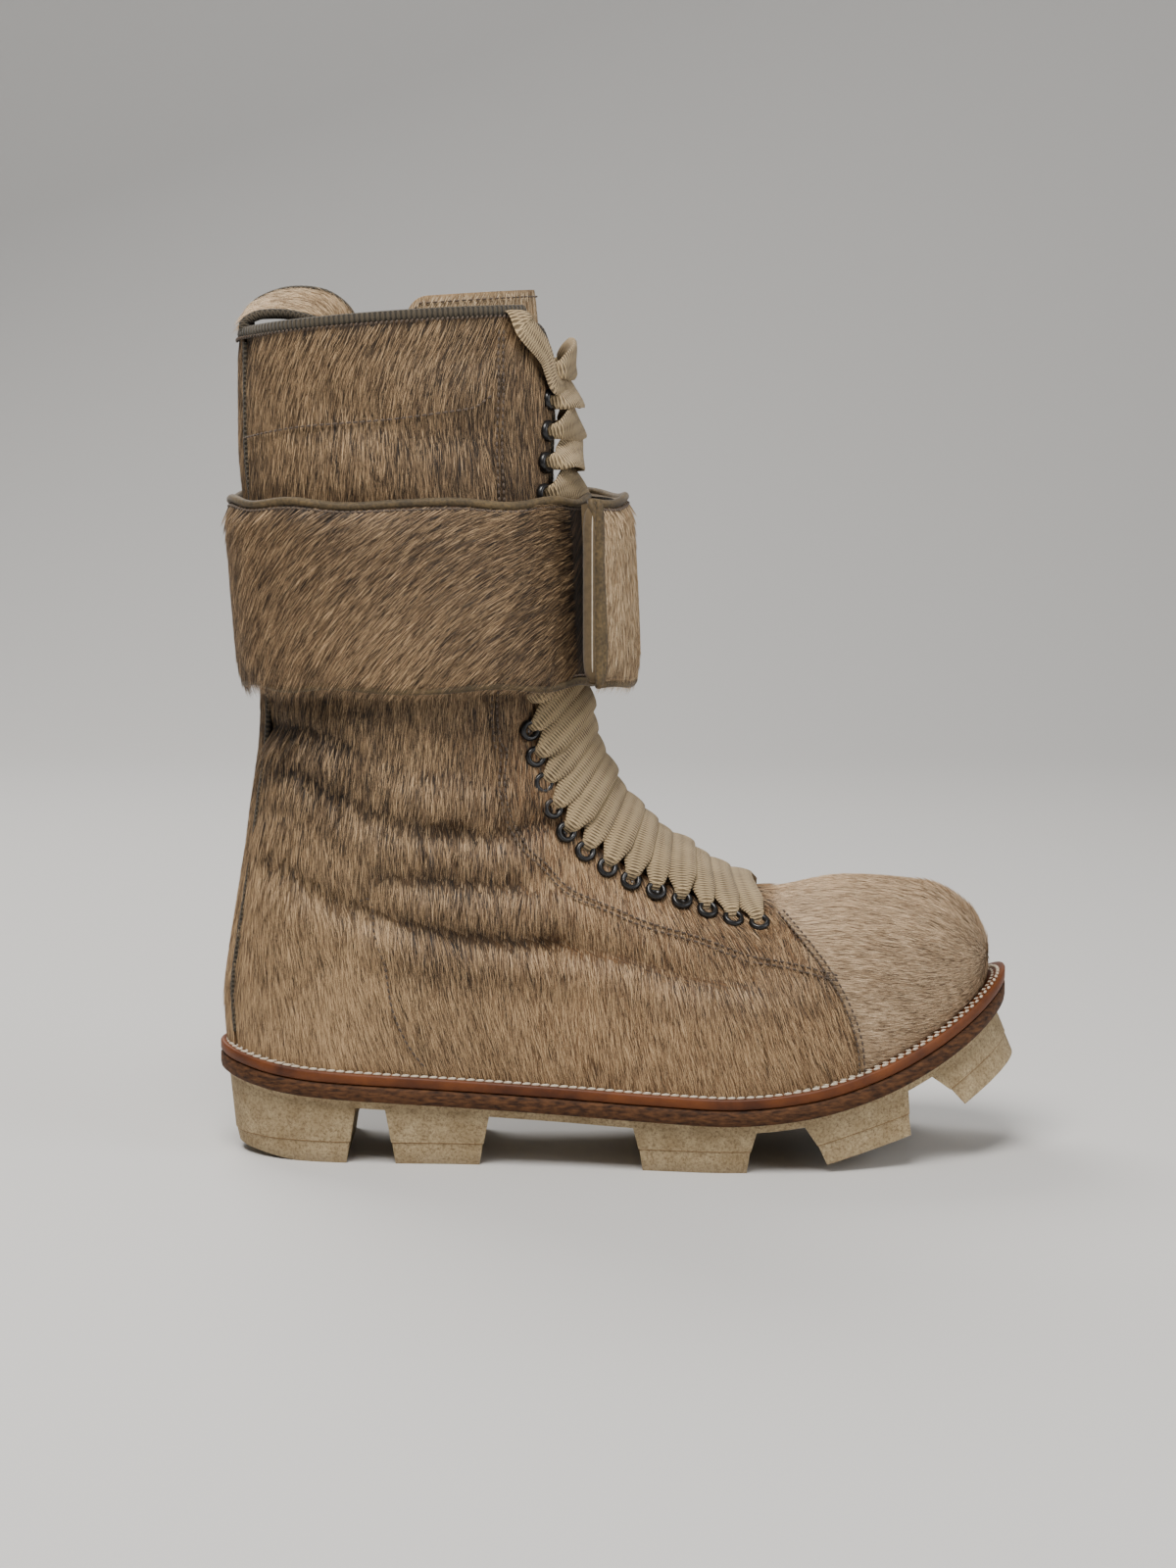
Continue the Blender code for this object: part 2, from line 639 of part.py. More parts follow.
def make_tongue():
    """A long soft tongue under the lacing gap, standing above the collar with rounded corners."""
    leg = LEG_ROWS[:TONGUE_LEG_ROWS]
    metre = 1 / (LAST.at(COLLAR_SECTION + 1, 0)[2] - LAST.at(COLLAR_SECTION, 0)[2])
    top = COLLAR_SECTION + TONGUE_RISE * metre
    rows = [TONGUE_START, *VAMP_ROWS[::2], *leg, COLLAR_SECTION]
    down = TONGUE_CORNER * np.array([0.6, 0.25, 0.05, 0.0])
    s = np.concatenate([rows, top - down * metre])[:, None]
    to_top = np.clip((top - s) / metre, 0, TONGUE_CORNER)
    corner = TONGUE_CORNER - np.sqrt(TONGUE_CORNER**2 - (TONGUE_CORNER - to_top) ** 2)
    reach = TONGUE_HALF_WIDTH * smooth_curve(TONGUE_WIDTHS[:, 0], TONGUE_WIDTHS[:, 1], s)
    a = np.linspace(-1, 1, TONGUE_COLUMNS)[None, :] * (reach - corner) / LAST.half_girth(s)
    outside = -WALL - GAP - TONGUE_CLEARANCE
    shell("tongue", [on_form(follow_seam(s, a), a, outside, outside - TONGUE_THICKNESS)], HAIR_HIDE)


FIRST_EYELET = 5.3
LAST_EYELET = 15.4


def lacing_line(side):
    """Section numbers, turns and points of the line of eyelet centres, close together."""
    s = np.linspace(FIRST_EYELET, LAST_EYELET, 400)
    a = side * (lacing_half_gap(s) + EYELET_MARGIN) / LAST.half_girth(s)
    s = follow_seam(s, a)
    return s, a, LAST.at(s, a, 0.0)


def eyelet_places(side):
    """Section number and turn of each eyelet: close over the foot, wider on the leg, even under the strap."""
    s, a, points = lacing_line(side)
    run = np.concatenate([[0], np.cumsum(np.linalg.norm(np.diff(points, axis=0), axis=1))])
    below, above = EYELETS_BELOW_STRAP - 1, EYELETS_ABOVE_STRAP - 1
    knots = [0, below, EYELET_COUNT - 1 - above, EYELET_COUNT - 1]
    strap = float(np.interp(STRAP_BOTTOM, points[:, 2], run))
    runs = [0, strap - EYELET_TO_STRAP, run[-1] - above * LEG_PITCH, run[-1]]
    at = np.interp(np.arange(EYELET_COUNT), knots, runs)
    return np.interp(at, run, s), np.interp(at, run, a)


def shown_eyelets():
    below = range(EYELETS_BELOW_STRAP)
    above = range(EYELET_COUNT - EYELETS_ABOVE_STRAP, EYELET_COUNT)
    return [*below, *above]


def frame_on_form(s, a):
    """A point on the form and two directions in its surface, with its normal."""
    point = LAST.at(s, a, 0.0)
    normal = LAST.at(s, a, 1.0) - point
    along = LAST.at(s + 0.02, a, 0.0) - LAST.at(s - 0.02, a, 0.0)
    along -= normal * np.dot(along, normal)
    along /= np.linalg.norm(along)
    return point, along, np.cross(normal, along), normal


def turned(name, frame, profile, steps, finish, where=None):
    """A closed ring turned about the frame's normal from a closed profile of radius and height."""
    point, along, across, normal = frame
    points = []
    for k in range(steps):
        angle = 2 * math.pi * k / steps
        ray = along * math.cos(angle) + across * math.sin(angle)
        points += [point + ray * r + normal * h for r, h in profile]
    n = len(profile)
    faces = [
        (k * n + m, k * n + (m + 1) % n, (k + 1) % steps * n + (m + 1) % n, (k + 1) % steps * n + m)
        for k in range(steps)
        for m in range(n)
    ]
    return mesh_object(name, points, faces, finish, where)


EYELET_SIDES = 6


def make_eyelets():
    profile = [
        (EYELET_BORE, EYELET_SEAT),
        (EYELET_RADIUS, EYELET_SEAT),
        (EYELET_RADIUS - EYELET_THICKNESS / 3, EYELET_SEAT + EYELET_THICKNESS),
        (EYELET_BORE, EYELET_SEAT + EYELET_THICKNESS),
    ]
    for side, word in ((-1, "outer"), (1, "inner")):
        s, a = eyelet_places(side)
        for k in shown_eyelets():
            turned(f"eyelet_{word}_{k + 1:02d}", frame_on_form(s[k], a[k]), profile, EYELET_SIDES, BLACK_METAL)


def cut_eyelet_holes(upper):
    """Pierces the upper where the eyelets go."""
    points, faces = [], []
    steps = EYELET_SIDES
    for side in (-1, 1):
        s, a = eyelet_places(side)
        for k in shown_eyelets():
            point, along, across, normal = frame_on_form(s[k], a[k])
            start = len(points)
            for depth in (-2 * WALL, WALL):
                for m in range(steps):
                    angle = 2 * math.pi * m / steps
                    ray = along * math.cos(angle) + across * math.sin(angle)
                    points.append(point + ray * EYELET_BORE + normal * depth)
            for m in range(steps):
                n = (m + 1) % steps
                faces.append((start + m, start + n, start + steps + n, start + steps + m))
            faces.append(tuple(start + m for m in reversed(range(steps))))
            faces.append(tuple(start + steps + m for m in range(steps)))
    cutter = mesh_object("eyelet_holes", points, faces, BLACK_METAL, CUT)
    cutter.hide_render = True
    cutter.display_type = "WIRE"
    cut = upper.modifiers.new("eyelet_holes", "BOOLEAN")
    cut.operation = "DIFFERENCE"
    cut.solver = "EXACT"
    cut.object = cutter


def make_lace(name, first, last, steps_per_bar, columns):
    """The bars of the flat lace between two eyelets, side by side and joined along their edges."""
    half_bar = 0.5 - LACE_END_GAP
    count = round((last - first + 1) * steps_per_bar)
    numbers = np.linspace(first - half_bar, last + half_bar, count + 1)
    index = np.arange(EYELET_COUNT)
    line_s, line_a = eyelet_places(1)
    beyond = numbers - np.clip(numbers, 0, EYELET_COUNT - 1)
    s = np.interp(numbers, index, line_s) + beyond * (line_s[1] - line_s[0])
    across = np.sin(np.linspace(-math.pi / 2, math.pi / 2, columns))[None, :]
    half = np.abs(np.cos(math.pi * numbers))[:, None] ** 0.5
    reach = np.interp(numbers, index, line_a)[:, None] * (1 - LACE_SCALLOP * (1 - half))
    base = EYELET_SEAT + EYELET_THICKNESS + GAP
    outer = base + LACE_THICKNESS - LACE_RIDGE * (1 - half) + 0 * across
    # the eyelet line's section lies forward of the crest's, as the seam bows
    bowed = s[:, None] + (LACE_BOW - LACE_BOW * across**2) * np.clip((BLEND_END - s[:, None]) / 2, 0, 1)
    shell(name, [on_form(bowed, across * reach, outer, base)], LACE_COTTON)


SOLE_STATIONS = 29


def ring_levels(levels, stations=SOLE_STATIONS):
    """Loops round the sole, one for each (inset, height function), with matching points on both sides."""
    turn = np.linspace(0, math.pi, stations)
    loops = []
    for inset, height in levels:
        outer_x, outer_y = outline_side(OUTER_INDEX, inset)
        inner_x, inner_y = outline_side(INNER_INDEX, inset)
        x = outer_x[0] + (outer_x[-1] - outer_x[0]) * (1 - np.cos(turn)) / 2
        near = np.interp(x, outer_x, outer_y)
        far = np.interp(x, inner_x, inner_y)
        tip = (near[-1] + far[-1]) / 2
        near[-1] = far[-1] = tip
        near[0] = far[0] = 0.0
        z = height(x)
        near_side = np.stack([x + HEEL_BACK, near, z], 1)
        far_side = np.stack([x + HEEL_BACK, far, z], 1)
        loops.append((near_side, far_side))
    return loops


def plate(name, levels, finish):
    """A solid sole layer, from its lowest loop to its highest."""
    loops = ring_levels(levels)
    points, faces = [], []
    n = SOLE_STATIONS
    for near, far in loops:
        points += list(near) + list(far)
    for k in range(len(loops) - 1):
        low, high = k * 2 * n, (k + 1) * 2 * n
        for side in (0, n):
            for i in range(n - 1):
                faces.append((low + side + i, low + side + i + 1, high + side + i + 1, high + side + i))
    for start in (0, (len(loops) - 1) * 2 * n):
        for i in range(n - 1):
            faces.append((start + i, start + i + 1, start + n + i + 1, start + n + i))
    return mesh_object(name, points, faces, finish)


def make_welt():
    bottom, top = layer(WELT_BOTTOM), layer(WELT_TOP)
    shoulder = layer(WELT_TOP - EDGE_ROUND)
    levels = [(0.0003, bottom), (0.0, shoulder), (EDGE_ROUND, top), (WELT_WIDTH, top), (WELT_WIDTH, bottom)]
    loops = ring_levels(levels)
    points, faces = [], []
    for near, far in loops:
        points += list(near) + list(far)
    n, rings = SOLE_STATIONS, len(loops)
    for k in range(rings):
        low, high = k * 2 * n, (k + 1) % rings * 2 * n
        for side in (0, n):
            for i in range(n - 1):
                faces.append((low + side + i, low + side + i + 1, high + side + i + 1, high + side + i))
    mesh_object("welt", points, faces, WELT_LEATHER)


def make_midsole():
    levels = [
        (EDGE_ROUND, layer(0.0)),
        (0.0, layer(EDGE_ROUND)),
        (0.0, layer(MIDSOLE_TOP - EDGE_ROUND / 3)),
        (EDGE_ROUND / 3, layer(MIDSOLE_TOP)),
    ]
    plate("midsole", levels, MIDSOLE_LEATHER)


def make_insole():
    """The insole board, with the filler under it that lies inside the welt."""
    rim = FEATHER_INSET + TOE_MARGIN + WALL + 0.001
    plug = WELT_WIDTH + 2 * GAP
    levels = [
        (plug, layer(MIDSOLE_TOP + GAP)),
        (plug, layer(WELT_TOP + GAP)),
        (rim, layer(WELT_TOP + GAP)),
        (rim, layer(WELT_TOP + GAP + INSOLE_THICKNESS)),
    ]
    plate("insole", levels, LINING)


# The lugs, heel to toe: where each begins and ends at its root (shares of length)
LUGS = np.array([
    # from, to
    (0.000, 0.178),
    (0.214, 0.345),
    (0.522, 0.676),
    (0.732, 0.864),
    (0.892, 1.000),
])
LUG_DRAFT = 0.0035
LUG_STEP = 0.0004
LUG_STEP_HEIGHT = 0.0085
LUG_LENGTH_DRAFT = 0.004
HEEL_BEVEL = 0.0045
HEEL_BEVEL_END = 0.1
GROUND_LUGS = 3
LUG_OVERLAP = 0.001
LUG_STATIONS = 9


def lug_loop(start, end, inset, ends_in, lift):
    """A loop round one lug: the sole's sides between its two ends, which are drawn in by ends_in."""
    outer_x, outer_y = outline_side(OUTER_INDEX, inset)
    inner_x, inner_y = outline_side(INNER_INDEX, inset)
    low = outer_x[0] if start <= 0 else start * SOLE_LENGTH + ends_in
    high = outer_x[-1] if end >= 1 else end * SOLE_LENGTH - ends_in
    share = np.linspace(0, 1, LUG_STATIONS)
    if start <= 0:
        share = 1 - np.cos(share * math.pi / 2)
    if end >= 1:
        share = np.sin(share * math.pi / 2)
    x = low + (high - low) * share
    near, far = np.interp(x, outer_x, outer_y), np.interp(x, inner_x, inner_y)
    if start <= 0:
        near[0] = far[0] = 0.0
    if end >= 1:
        near[-1] = far[-1] = (near[-1] + far[-1]) / 2
    z = underside(x) + lift
    return np.concatenate([np.stack([x, near, z], 1), np.stack([x, far, z], 1)[::-1]])


def lug_points(number):
    start, end = LUGS[number]
    centre = (start + end) / 2 * SOLE_LENGTH
    slope = 0.0 if number < GROUND_LUGS else float(steepness(centre))
    down = np.array([math.sin(slope), 0.0, -math.cos(slope)])
    root = np.array([centre, 0.0, float(underside(centre))])
    depth = root[2] if number < GROUND_LUGS else LUG_HEIGHT
    loops = []
    stages = [
        (OUTSOLE_INSET, 0.0, 0.0),
        (OUTSOLE_INSET + 0.6 * LUG_DRAFT, 0.6 * LUG_LENGTH_DRAFT, depth - LUG_STEP_HEIGHT),
        (OUTSOLE_INSET + 0.6 * LUG_DRAFT + LUG_STEP, 0.6 * LUG_LENGTH_DRAFT + LUG_STEP, depth - LUG_STEP_HEIGHT),
        (OUTSOLE_INSET + LUG_DRAFT, LUG_LENGTH_DRAFT, depth),
    ]
    for inset, ends_in, drop in stages:
        loop = lug_loop(start, end, inset, ends_in, 0.0)
        if drop == 0.0:
            loop[:, 2] -= OUTSOLE_BASE - LUG_OVERLAP
        else:
            floor = root + down * drop
            reach = (floor - loop) @ down
            loop = loop + reach[:, None] * down
        loops.append(loop)
    if start <= 0:
        bevel = np.clip(1 - loops[-1][:, 0] / (HEEL_BEVEL_END * SOLE_LENGTH), 0, 1)
        loops[-1][:, 2] += HEEL_BEVEL * bevel
    return loops


def make_lug(number):
    loops = lug_points(number)
    n = len(loops[0])
    points = [p + np.array([HEEL_BACK, 0, 0]) for loop in loops for p in loop]
    faces = []
    for k in range(len(loops) - 1):
        for i in range(n):
            j = (i + 1) % n
            faces.append((k * n + i, k * n + j, (k + 1) * n + j, (k + 1) * n + i))
    half = n // 2
    for start in (0, (len(loops) - 1) * n):
        for i in range(half - 1):
            faces.append((start + i, start + i + 1, start + n - 2 - i, start + n - 1 - i))
    return mesh_object(f"lug_{number + 1}", points, faces, GUM_RUBBER, CUT)


def make_outsole():
    base_levels = [
        (OUTSOLE_INSET + 0.0005, lambda x: layer(-GAP)(x) - OUTSOLE_BASE),
        (OUTSOLE_INSET - 0.0005, layer(-GAP)),
    ]
    outsole = plate("outsole", base_levels, GUM_RUBBER)
    for number in range(len(LUGS)):
        lug = make_lug(number)
        lug.hide_render = True
        lug.display_type = "WIRE"
        join = outsole.modifiers.new(lug.name, "BOOLEAN")
        join.operation = "UNION"
        join.solver = "EXACT"
        join.object = lug


# The strap is an upright squared oval round the leg. A turn, in radians, runs from the front middle by the inner side.
STRAP_SQUARE = 2.7
STRAP_OVER_END = -0.62
STRAP_UNDER_END = 0.35
STRAP_STATIONS = 46
STRAP_SETTLE_FROM, STRAP_SETTLE_TO = 0.75, 1.75
STRAP_BULGE_REACH = 1.2
STRAP_TUCK_FROM, STRAP_TUCK_TO = 2 * math.pi - 1.1, 2 * math.pi - 0.7
STRAP_TUCK_PAD = 0.25
# Across the band: share of its height, and how much of the padding stands out there
STRAP_PROFILE = [(0.0, 0.15), (0.06, 0.65), (0.2, 0.95), (0.5, 1.0), (0.8, 0.95), (0.94, 0.65), (1.0, 0.15)]


def strap_ends():
    """Where the oval passes the front and the back, at the band's lower and upper edges."""
    ends = []
    for height, ahead, behind in zip((0.0, STRAP_HEIGHT), STRAP_FRONT_CLEARANCE, STRAP_BACK_CLEARANCE):
        front = LAST.at(LAST.section_at_height(STRAP_BOTTOM + height, 0.0), 0.0)[0]
        back = LAST.at(LAST.section_at_height(STRAP_BOTTOM + height, 1.0), 1.0)[0]
        ends.append((front + ahead, back - behind))
    return np.array(ends)


def strap_point(ends, turn, out, share):
    """A point of the strap's wall, this share of the way up and this far out."""
    front, back = ends[0] + share * (ends[1] - ends[0])
    axis = (ends[0].mean() + ends[1].mean()) / 2
    c, s = math.cos(turn), math.sin(turn)
    reach = (front - axis if c > 0 else axis - back) + out
    half = SHAFT_WIDTH / 2 + out
    x = axis + reach * math.copysign(abs(c) ** (2 / STRAP_SQUARE), c)
    y = half * math.copysign(abs(s) ** (2 / STRAP_SQUARE), s)
    return np.array([x, y, STRAP_BOTTOM + share * STRAP_HEIGHT])


def strap_layer(turn):
    """How far out the strap lies: its outer end laps over its inner end and bulges across the front."""
    settle = np.clip((turn - STRAP_SETTLE_FROM) / (STRAP_SETTLE_TO - STRAP_SETTLE_FROM), 0, 1)
    lap = STRAP_LAP * (1 - settle**2 * (3 - 2 * settle))
    across = np.clip(turn / STRAP_BULGE_REACH, -1, 1)
    return lap + STRAP_BULGE * math.cos(across * math.pi / 2)


def make_strap():
    """One band with padded middle and thin edges, from its lapping end round to its lapped end."""
    ends = strap_ends()
    turns = np.linspace(STRAP_OVER_END, 2 * math.pi + STRAP_UNDER_END, STRAP_STATIONS)
    points = []
    for turn in turns:
        out = strap_layer(turn) if turn < math.pi else 0.0
        tucked = np.clip((turn - STRAP_TUCK_FROM) / (STRAP_TUCK_TO - STRAP_TUCK_FROM), 0, 1)
        pad = STRAP_PAD * (1 - (1 - STRAP_TUCK_PAD) * tucked)
        inner = [strap_point(ends, turn, out + STRAP_SLACK, share) for share in (1.0, 0.5, 0.0)]
        outer = [strap_point(ends, turn, out + STRAP_EDGE + pad * puff, share) for share, puff in STRAP_PROFILE]
        points += outer + inner
    n = len(STRAP_PROFILE) + 3
    rows = len(turns)
    faces = [
        (i * n + m, i * n + (m + 1) % n, (i + 1) * n + (m + 1) % n, (i + 1) * n + m)
        for i in range(rows - 1)
        for m in range(n)
    ]
    faces += [tuple(range(n)), tuple((rows - 1) * n + m for m in reversed(range(n)))]
    mesh_object("strap", points, faces, HAIR_HIDE)


# The pull loop's middle line between its two sewn ends: forward of the collar's back edge and above it
# (shares of LOOP_REACH and LOOP_RISE), and its roll in degrees
LOOP_PATH = np.array([
    # forward, up, roll
    (0.02, 0.66, 6),
    (0.18, 1.02, 14),
    (0.45, 1.16, 22),
    (0.72, 1.05, 26),
    (0.94, 0.55, 24),
    (1.00, -0.20, 14),
    (0.86, -1.00, 6),
    (0.56, -1.50, 2),
])


def make_pull_loop():
    """A flat loop that rises from the collar's back, leans forward and is sewn down inside."""
    back = LAST.at(COLLAR_SECTION, 1.0)
    low = LAST.at(COLLAR_SECTION - 0.8, 1.0)
    lean = (back[0] - low[0]) / (back[2] - low[2])
    half = LOOP_THICKNESS / 2
    beside = LAST.at(COLLAR_SECTION, 1 - (1 - throat_turn(COLLAR_SECTION)) / SIDE_STEPS)
    hollow = (beside[0] - back[0]) * LOOP_WIDTH / 2 / abs(beside[1])
    inside = WALL + BINDING_LIP + 2 * GAP + hollow + half
    edge = 1 - LOOP_WIDTH / 2 / LAST.half_girth(COLLAR_SECTION)
    seat = LAST.at(follow_collar(above_collar(BINDING_HEIGHT + 3 * GAP), edge), edge)[2]
    middle = back[0] + WALL / 2 - BINDING_LIP
    path = [(middle, seat + rise, 0.0) for rise in (0.0, LOOP_THICKNESS)]
    path += [(back[0] + LOOP_REACH * f, back[2] + LOOP_RISE * up, math.radians(r)) for f, up, r in LOOP_PATH]
    tail = (-2.1 * LOOP_RISE, -2.6 * LOOP_RISE, -3.1 * LOOP_RISE)
    path += [(back[0] + inside + up * lean, back[2] + up, 0.0) for up in tail]
    path = np.array(path)
    rows = np.arange(len(path))
    steps = np.linspace(0, len(path) - 1, LOOP_STATIONS)
    x, z, roll = (smooth_curve(rows, path[:, k], steps) for k in range(3))
    middle = np.stack([x, np.zeros(len(steps)), z], 1)
    run = np.gradient(middle, axis=0)
    run /= np.linalg.norm(run, axis=1)[:, None]
    points = []
    for place, ahead, tilt in zip(middle, run, roll):
        side = np.array([0.0, 1.0, 0.0])
        normal = np.cross(side, ahead)
        across = side * math.cos(tilt) - normal * math.sin(tilt)
        thick = side * math.sin(tilt) + normal * math.cos(tilt)
        for u, v in ((-1, -1), (1, -1), (1, 1), (-1, 1)):
            points.append(place + across * u * LOOP_WIDTH / 2 + thick * v * half)
    faces = [
        (i * 4 + m, i * 4 + (m + 1) % 4, (i + 1) * 4 + (m + 1) % 4, (i + 1) * 4 + m)
        for i in range(len(steps) - 1)
        for m in range(4)
    ]
    last = (len(steps) - 1) * 4
    faces += [(0, 1, 2, 3), (last + 3, last + 2, last + 1, last)]
    mesh_object("pull_loop", points, faces, HAIR_HIDE)


make_midsole()
make_outsole()
make_welt()
make_insole()
UPPER = make_upper()
cut_eyelet_holes(UPPER)
make_toe_cap()
make_backstay()
make_collar_binding()
make_tongue()
make_eyelets()
make_lace("lace_vamp", 0, EYELETS_BELOW_STRAP - 1, 2, 9)
make_lace("lace_shaft", EYELETS_BELOW_STRAP, EYELET_COUNT - 1, 2, 7)
make_strap()
make_pull_loop()
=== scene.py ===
import math

import bmesh
import bpy
import numpy as np
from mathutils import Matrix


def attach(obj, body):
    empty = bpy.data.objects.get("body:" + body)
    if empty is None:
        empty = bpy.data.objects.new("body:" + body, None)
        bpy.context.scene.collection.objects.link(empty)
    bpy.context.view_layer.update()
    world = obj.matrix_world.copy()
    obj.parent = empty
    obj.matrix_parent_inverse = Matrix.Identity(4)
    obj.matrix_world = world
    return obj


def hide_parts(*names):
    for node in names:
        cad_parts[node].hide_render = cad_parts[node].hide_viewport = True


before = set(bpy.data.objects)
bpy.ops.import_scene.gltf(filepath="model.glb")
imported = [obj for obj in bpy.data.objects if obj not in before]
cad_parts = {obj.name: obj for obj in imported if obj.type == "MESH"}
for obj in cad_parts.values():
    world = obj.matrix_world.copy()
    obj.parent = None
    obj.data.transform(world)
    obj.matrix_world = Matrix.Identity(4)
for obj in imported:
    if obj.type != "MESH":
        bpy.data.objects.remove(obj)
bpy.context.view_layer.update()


# Camera and studio: the boot is seen from its outer side, from a little above, on a pale floor.
# One broad soft lamp hangs over it to the front, with two weaker ones to fill the shadows.
VIEW_POINT = (0.10592, -1.450, 0.321)
VIEW_PITCH = math.radians(83)
LENS_MM, SENSOR_MM = 86.21, 36.0
SWEEP_WIDTH, SWEEP_FRONT, SWEEP_BACK, SWEEP_BEND, SWEEP_HEIGHT = 7.0, -2.6, 1.3, 0.9, 3.2
LAMPS = {
    # place, size, power, colour
    "lamp_over": ((-0.15, -0.80, 1.60), 0.8, 38.0, (1.0, 0.97, 0.93)),
    "lamp_side": ((1.45, -0.75, 0.75), 0.9, 10.0, (0.96, 0.98, 1.0)),
    "lamp_behind": ((-0.5, 1.05, 1.3), 0.9, 20.0, (1.0, 0.98, 0.95)),
}
LAMP_TARGET = (0.11, 0.0, 0.15)
PAPER_COLOUR = (0.60, 0.59, 0.575, 1.0)
AIR_COLOUR, AIR_STRENGTH = (0.82, 0.83, 0.85, 1.0), 0.30

view = bpy.data.objects.new("view", bpy.data.cameras.new("view"))
view.data.lens, view.data.sensor_width = LENS_MM, SENSOR_MM
view.data.clip_start, view.data.clip_end = 0.05, 60.0
view.location, view.rotation_euler = VIEW_POINT, (VIEW_PITCH, 0.0, 0.0)
bpy.context.scene.collection.objects.link(view)
bpy.context.scene.camera = view


def join(tree, made, inputs):
    """Gives a node its inputs. Each is a value, or the socket that feeds it."""
    for name, value in inputs.items():
        if isinstance(value, bpy.types.NodeSocket):
            tree.links.new(value, made.inputs[name])
        else:
            made.inputs[name].default_value = value


def put_node(tree, kind, inputs=None, **settings):
    """Adds a node with its settings and inputs."""
    made = tree.nodes.new(kind)
    for name, value in settings.items():
        setattr(made, name, value)
    join(tree, made, inputs or {})
    return made


def new_finish(name, roughness, **constants):
    """A material with a Principled shader. The constants are set on the shader's own sockets."""
    made = bpy.data.materials.new(name)
    made.use_nodes = True
    shader = made.node_tree.nodes["Principled BSDF"]
    shader.inputs["Roughness"].default_value = roughness
    for key, value in constants.items():
        shader.inputs[key.replace("_", " ")].default_value = value
    return made, made.node_tree


def hang_paper():
    """The floor, curving up into a plain backdrop behind the boot."""
    finish, _ = new_finish("studio_paper", 0.8, Base_Color=PAPER_COLOUR)
    bend = np.linspace(0, math.pi / 2, 25)
    line = [(SWEEP_FRONT, 0.0)]
    line += [(SWEEP_BACK + SWEEP_BEND * math.sin(turn), SWEEP_BEND * (1 - math.cos(turn))) for turn in bend]
    line.append((SWEEP_BACK + SWEEP_BEND, SWEEP_HEIGHT))
    half = SWEEP_WIDTH / 2
    points = [(x, y, z) for y, z in line for x in (-half, half)]
    faces = [(2 * k, 2 * k + 1, 2 * k + 3, 2 * k + 2) for k in range(len(line) - 1)]
    mesh = bpy.data.meshes.new("studio_floor")
    mesh.from_pydata(points, [], faces)
    mesh.shade_smooth()
    mesh.materials.append(finish)
    floor = bpy.data.objects.new("studio_floor", mesh)
    bpy.context.scene.collection.objects.link(floor)


def hang_lamp(name, place, size, power, colour):
    lamp = bpy.data.objects.new(name, bpy.data.lights.new(name, "AREA"))
    lamp.data.size, lamp.data.energy, lamp.data.color = size, power, colour
    away = np.array(place) - np.array(LAMP_TARGET)
    level = math.hypot(away[0], away[1])
    lamp.location = place
    lamp.rotation_euler = (math.atan2(level, away[2]), 0.0, math.atan2(away[1], away[0]) + math.pi / 2)
    bpy.context.scene.collection.objects.link(lamp)


hang_paper()
for name, (place, size, power, colour) in LAMPS.items():
    hang_lamp(name, place, size, power, colour)
sky = bpy.data.worlds.new("studio_air")
sky.use_nodes = True
sky.node_tree.nodes["Background"].inputs["Color"].default_value = AIR_COLOUR
sky.node_tree.nodes["Background"].inputs["Strength"].default_value = AIR_STRENGTH
bpy.context.scene.world = sky


# Outsole: one moulding of pale gum rubber, a thin base with five deep lugs under it.
# The heel, waist and ball lugs stand flat on the ground, and the last two follow the toe up.
SOLE_LENGTH, BALL_WIDTH = 0.308, 0.1145
HEEL_TO_ORIGIN = 0.038
HEEL_BACK = -HEEL_TO_ORIGIN
LUG_HEIGHT, HEEL_LIFT, HEEL_RISE, TOE_SPRING = 0.019, 0.0095, 0.004, 0.039
GAP = 0.0003
EDGE_ROUND = 0.0012
OUTSOLE_BASE, OUTSOLE_INSET = 0.003, 0.0035
LUG_DRAFT, LUG_LENGTH_DRAFT = 0.0035, 0.004
LUG_STEP, LUG_STEP_HEIGHT, LUG_STEP_SHARE = 0.0003, 0.0085, 0.6
HEEL_BEVEL, HEEL_BEVEL_END = 0.0045, 0.1
GROUND_LUGS = 3
LUG_OVERLAP = 0.001
LUG_EDGE, MOULD_LINE, MOULD_LINE_LOOP = 0.0007, 0.0003, 2
SOLE_POINTS, LUG_POINTS = 121, 41
RUBBER_DARK, RUBBER_PALE = (0.33, 0.235, 0.118, 1.0), (0.56, 0.435, 0.255, 1.0)
PORE_COLOUR, GRIME_COLOUR = (0.16, 0.10, 0.045, 1.0), (0.20, 0.15, 0.09, 1.0)
# The mould line is a real fine line, and its dark colour is painted shade along the lugs' small step.
MOULD_LINE_SHADE = (0.20, 0.105, 0.035, 1.0)


def smooth_curve(knots, values, at):
    """Smooth curve through the knots that never passes beyond two neighbouring values."""
    knots = np.asarray(knots, float)
    values = np.asarray(values, float)
    at = np.clip(at, knots[0], knots[-1])
    steps = np.diff(knots)
    rise = np.diff(values) / steps
    slope = np.zeros(len(knots))
    before, after = rise[:-1], rise[1:]
    same_way = before * after > 0
    mean = 2 * before * after / np.where(same_way, before + after, 1.0)
    slope[1:-1] = np.where(same_way, mean, 0.0)
    slope[0], slope[-1] = rise[0], rise[-1]
    low = np.clip(np.searchsorted(knots, at, side="right") - 1, 0, len(knots) - 2)
    step = steps[low]
    t = (at - knots[low]) / step
    return (
        (2 * t**3 - 3 * t**2 + 1) * values[low]
        + (t**3 - 2 * t**2 + t) * step * slope[low]
        + (3 * t**2 - 2 * t**3) * values[low + 1]
        + (t**3 - t**2) * step * slope[low + 1]
    )


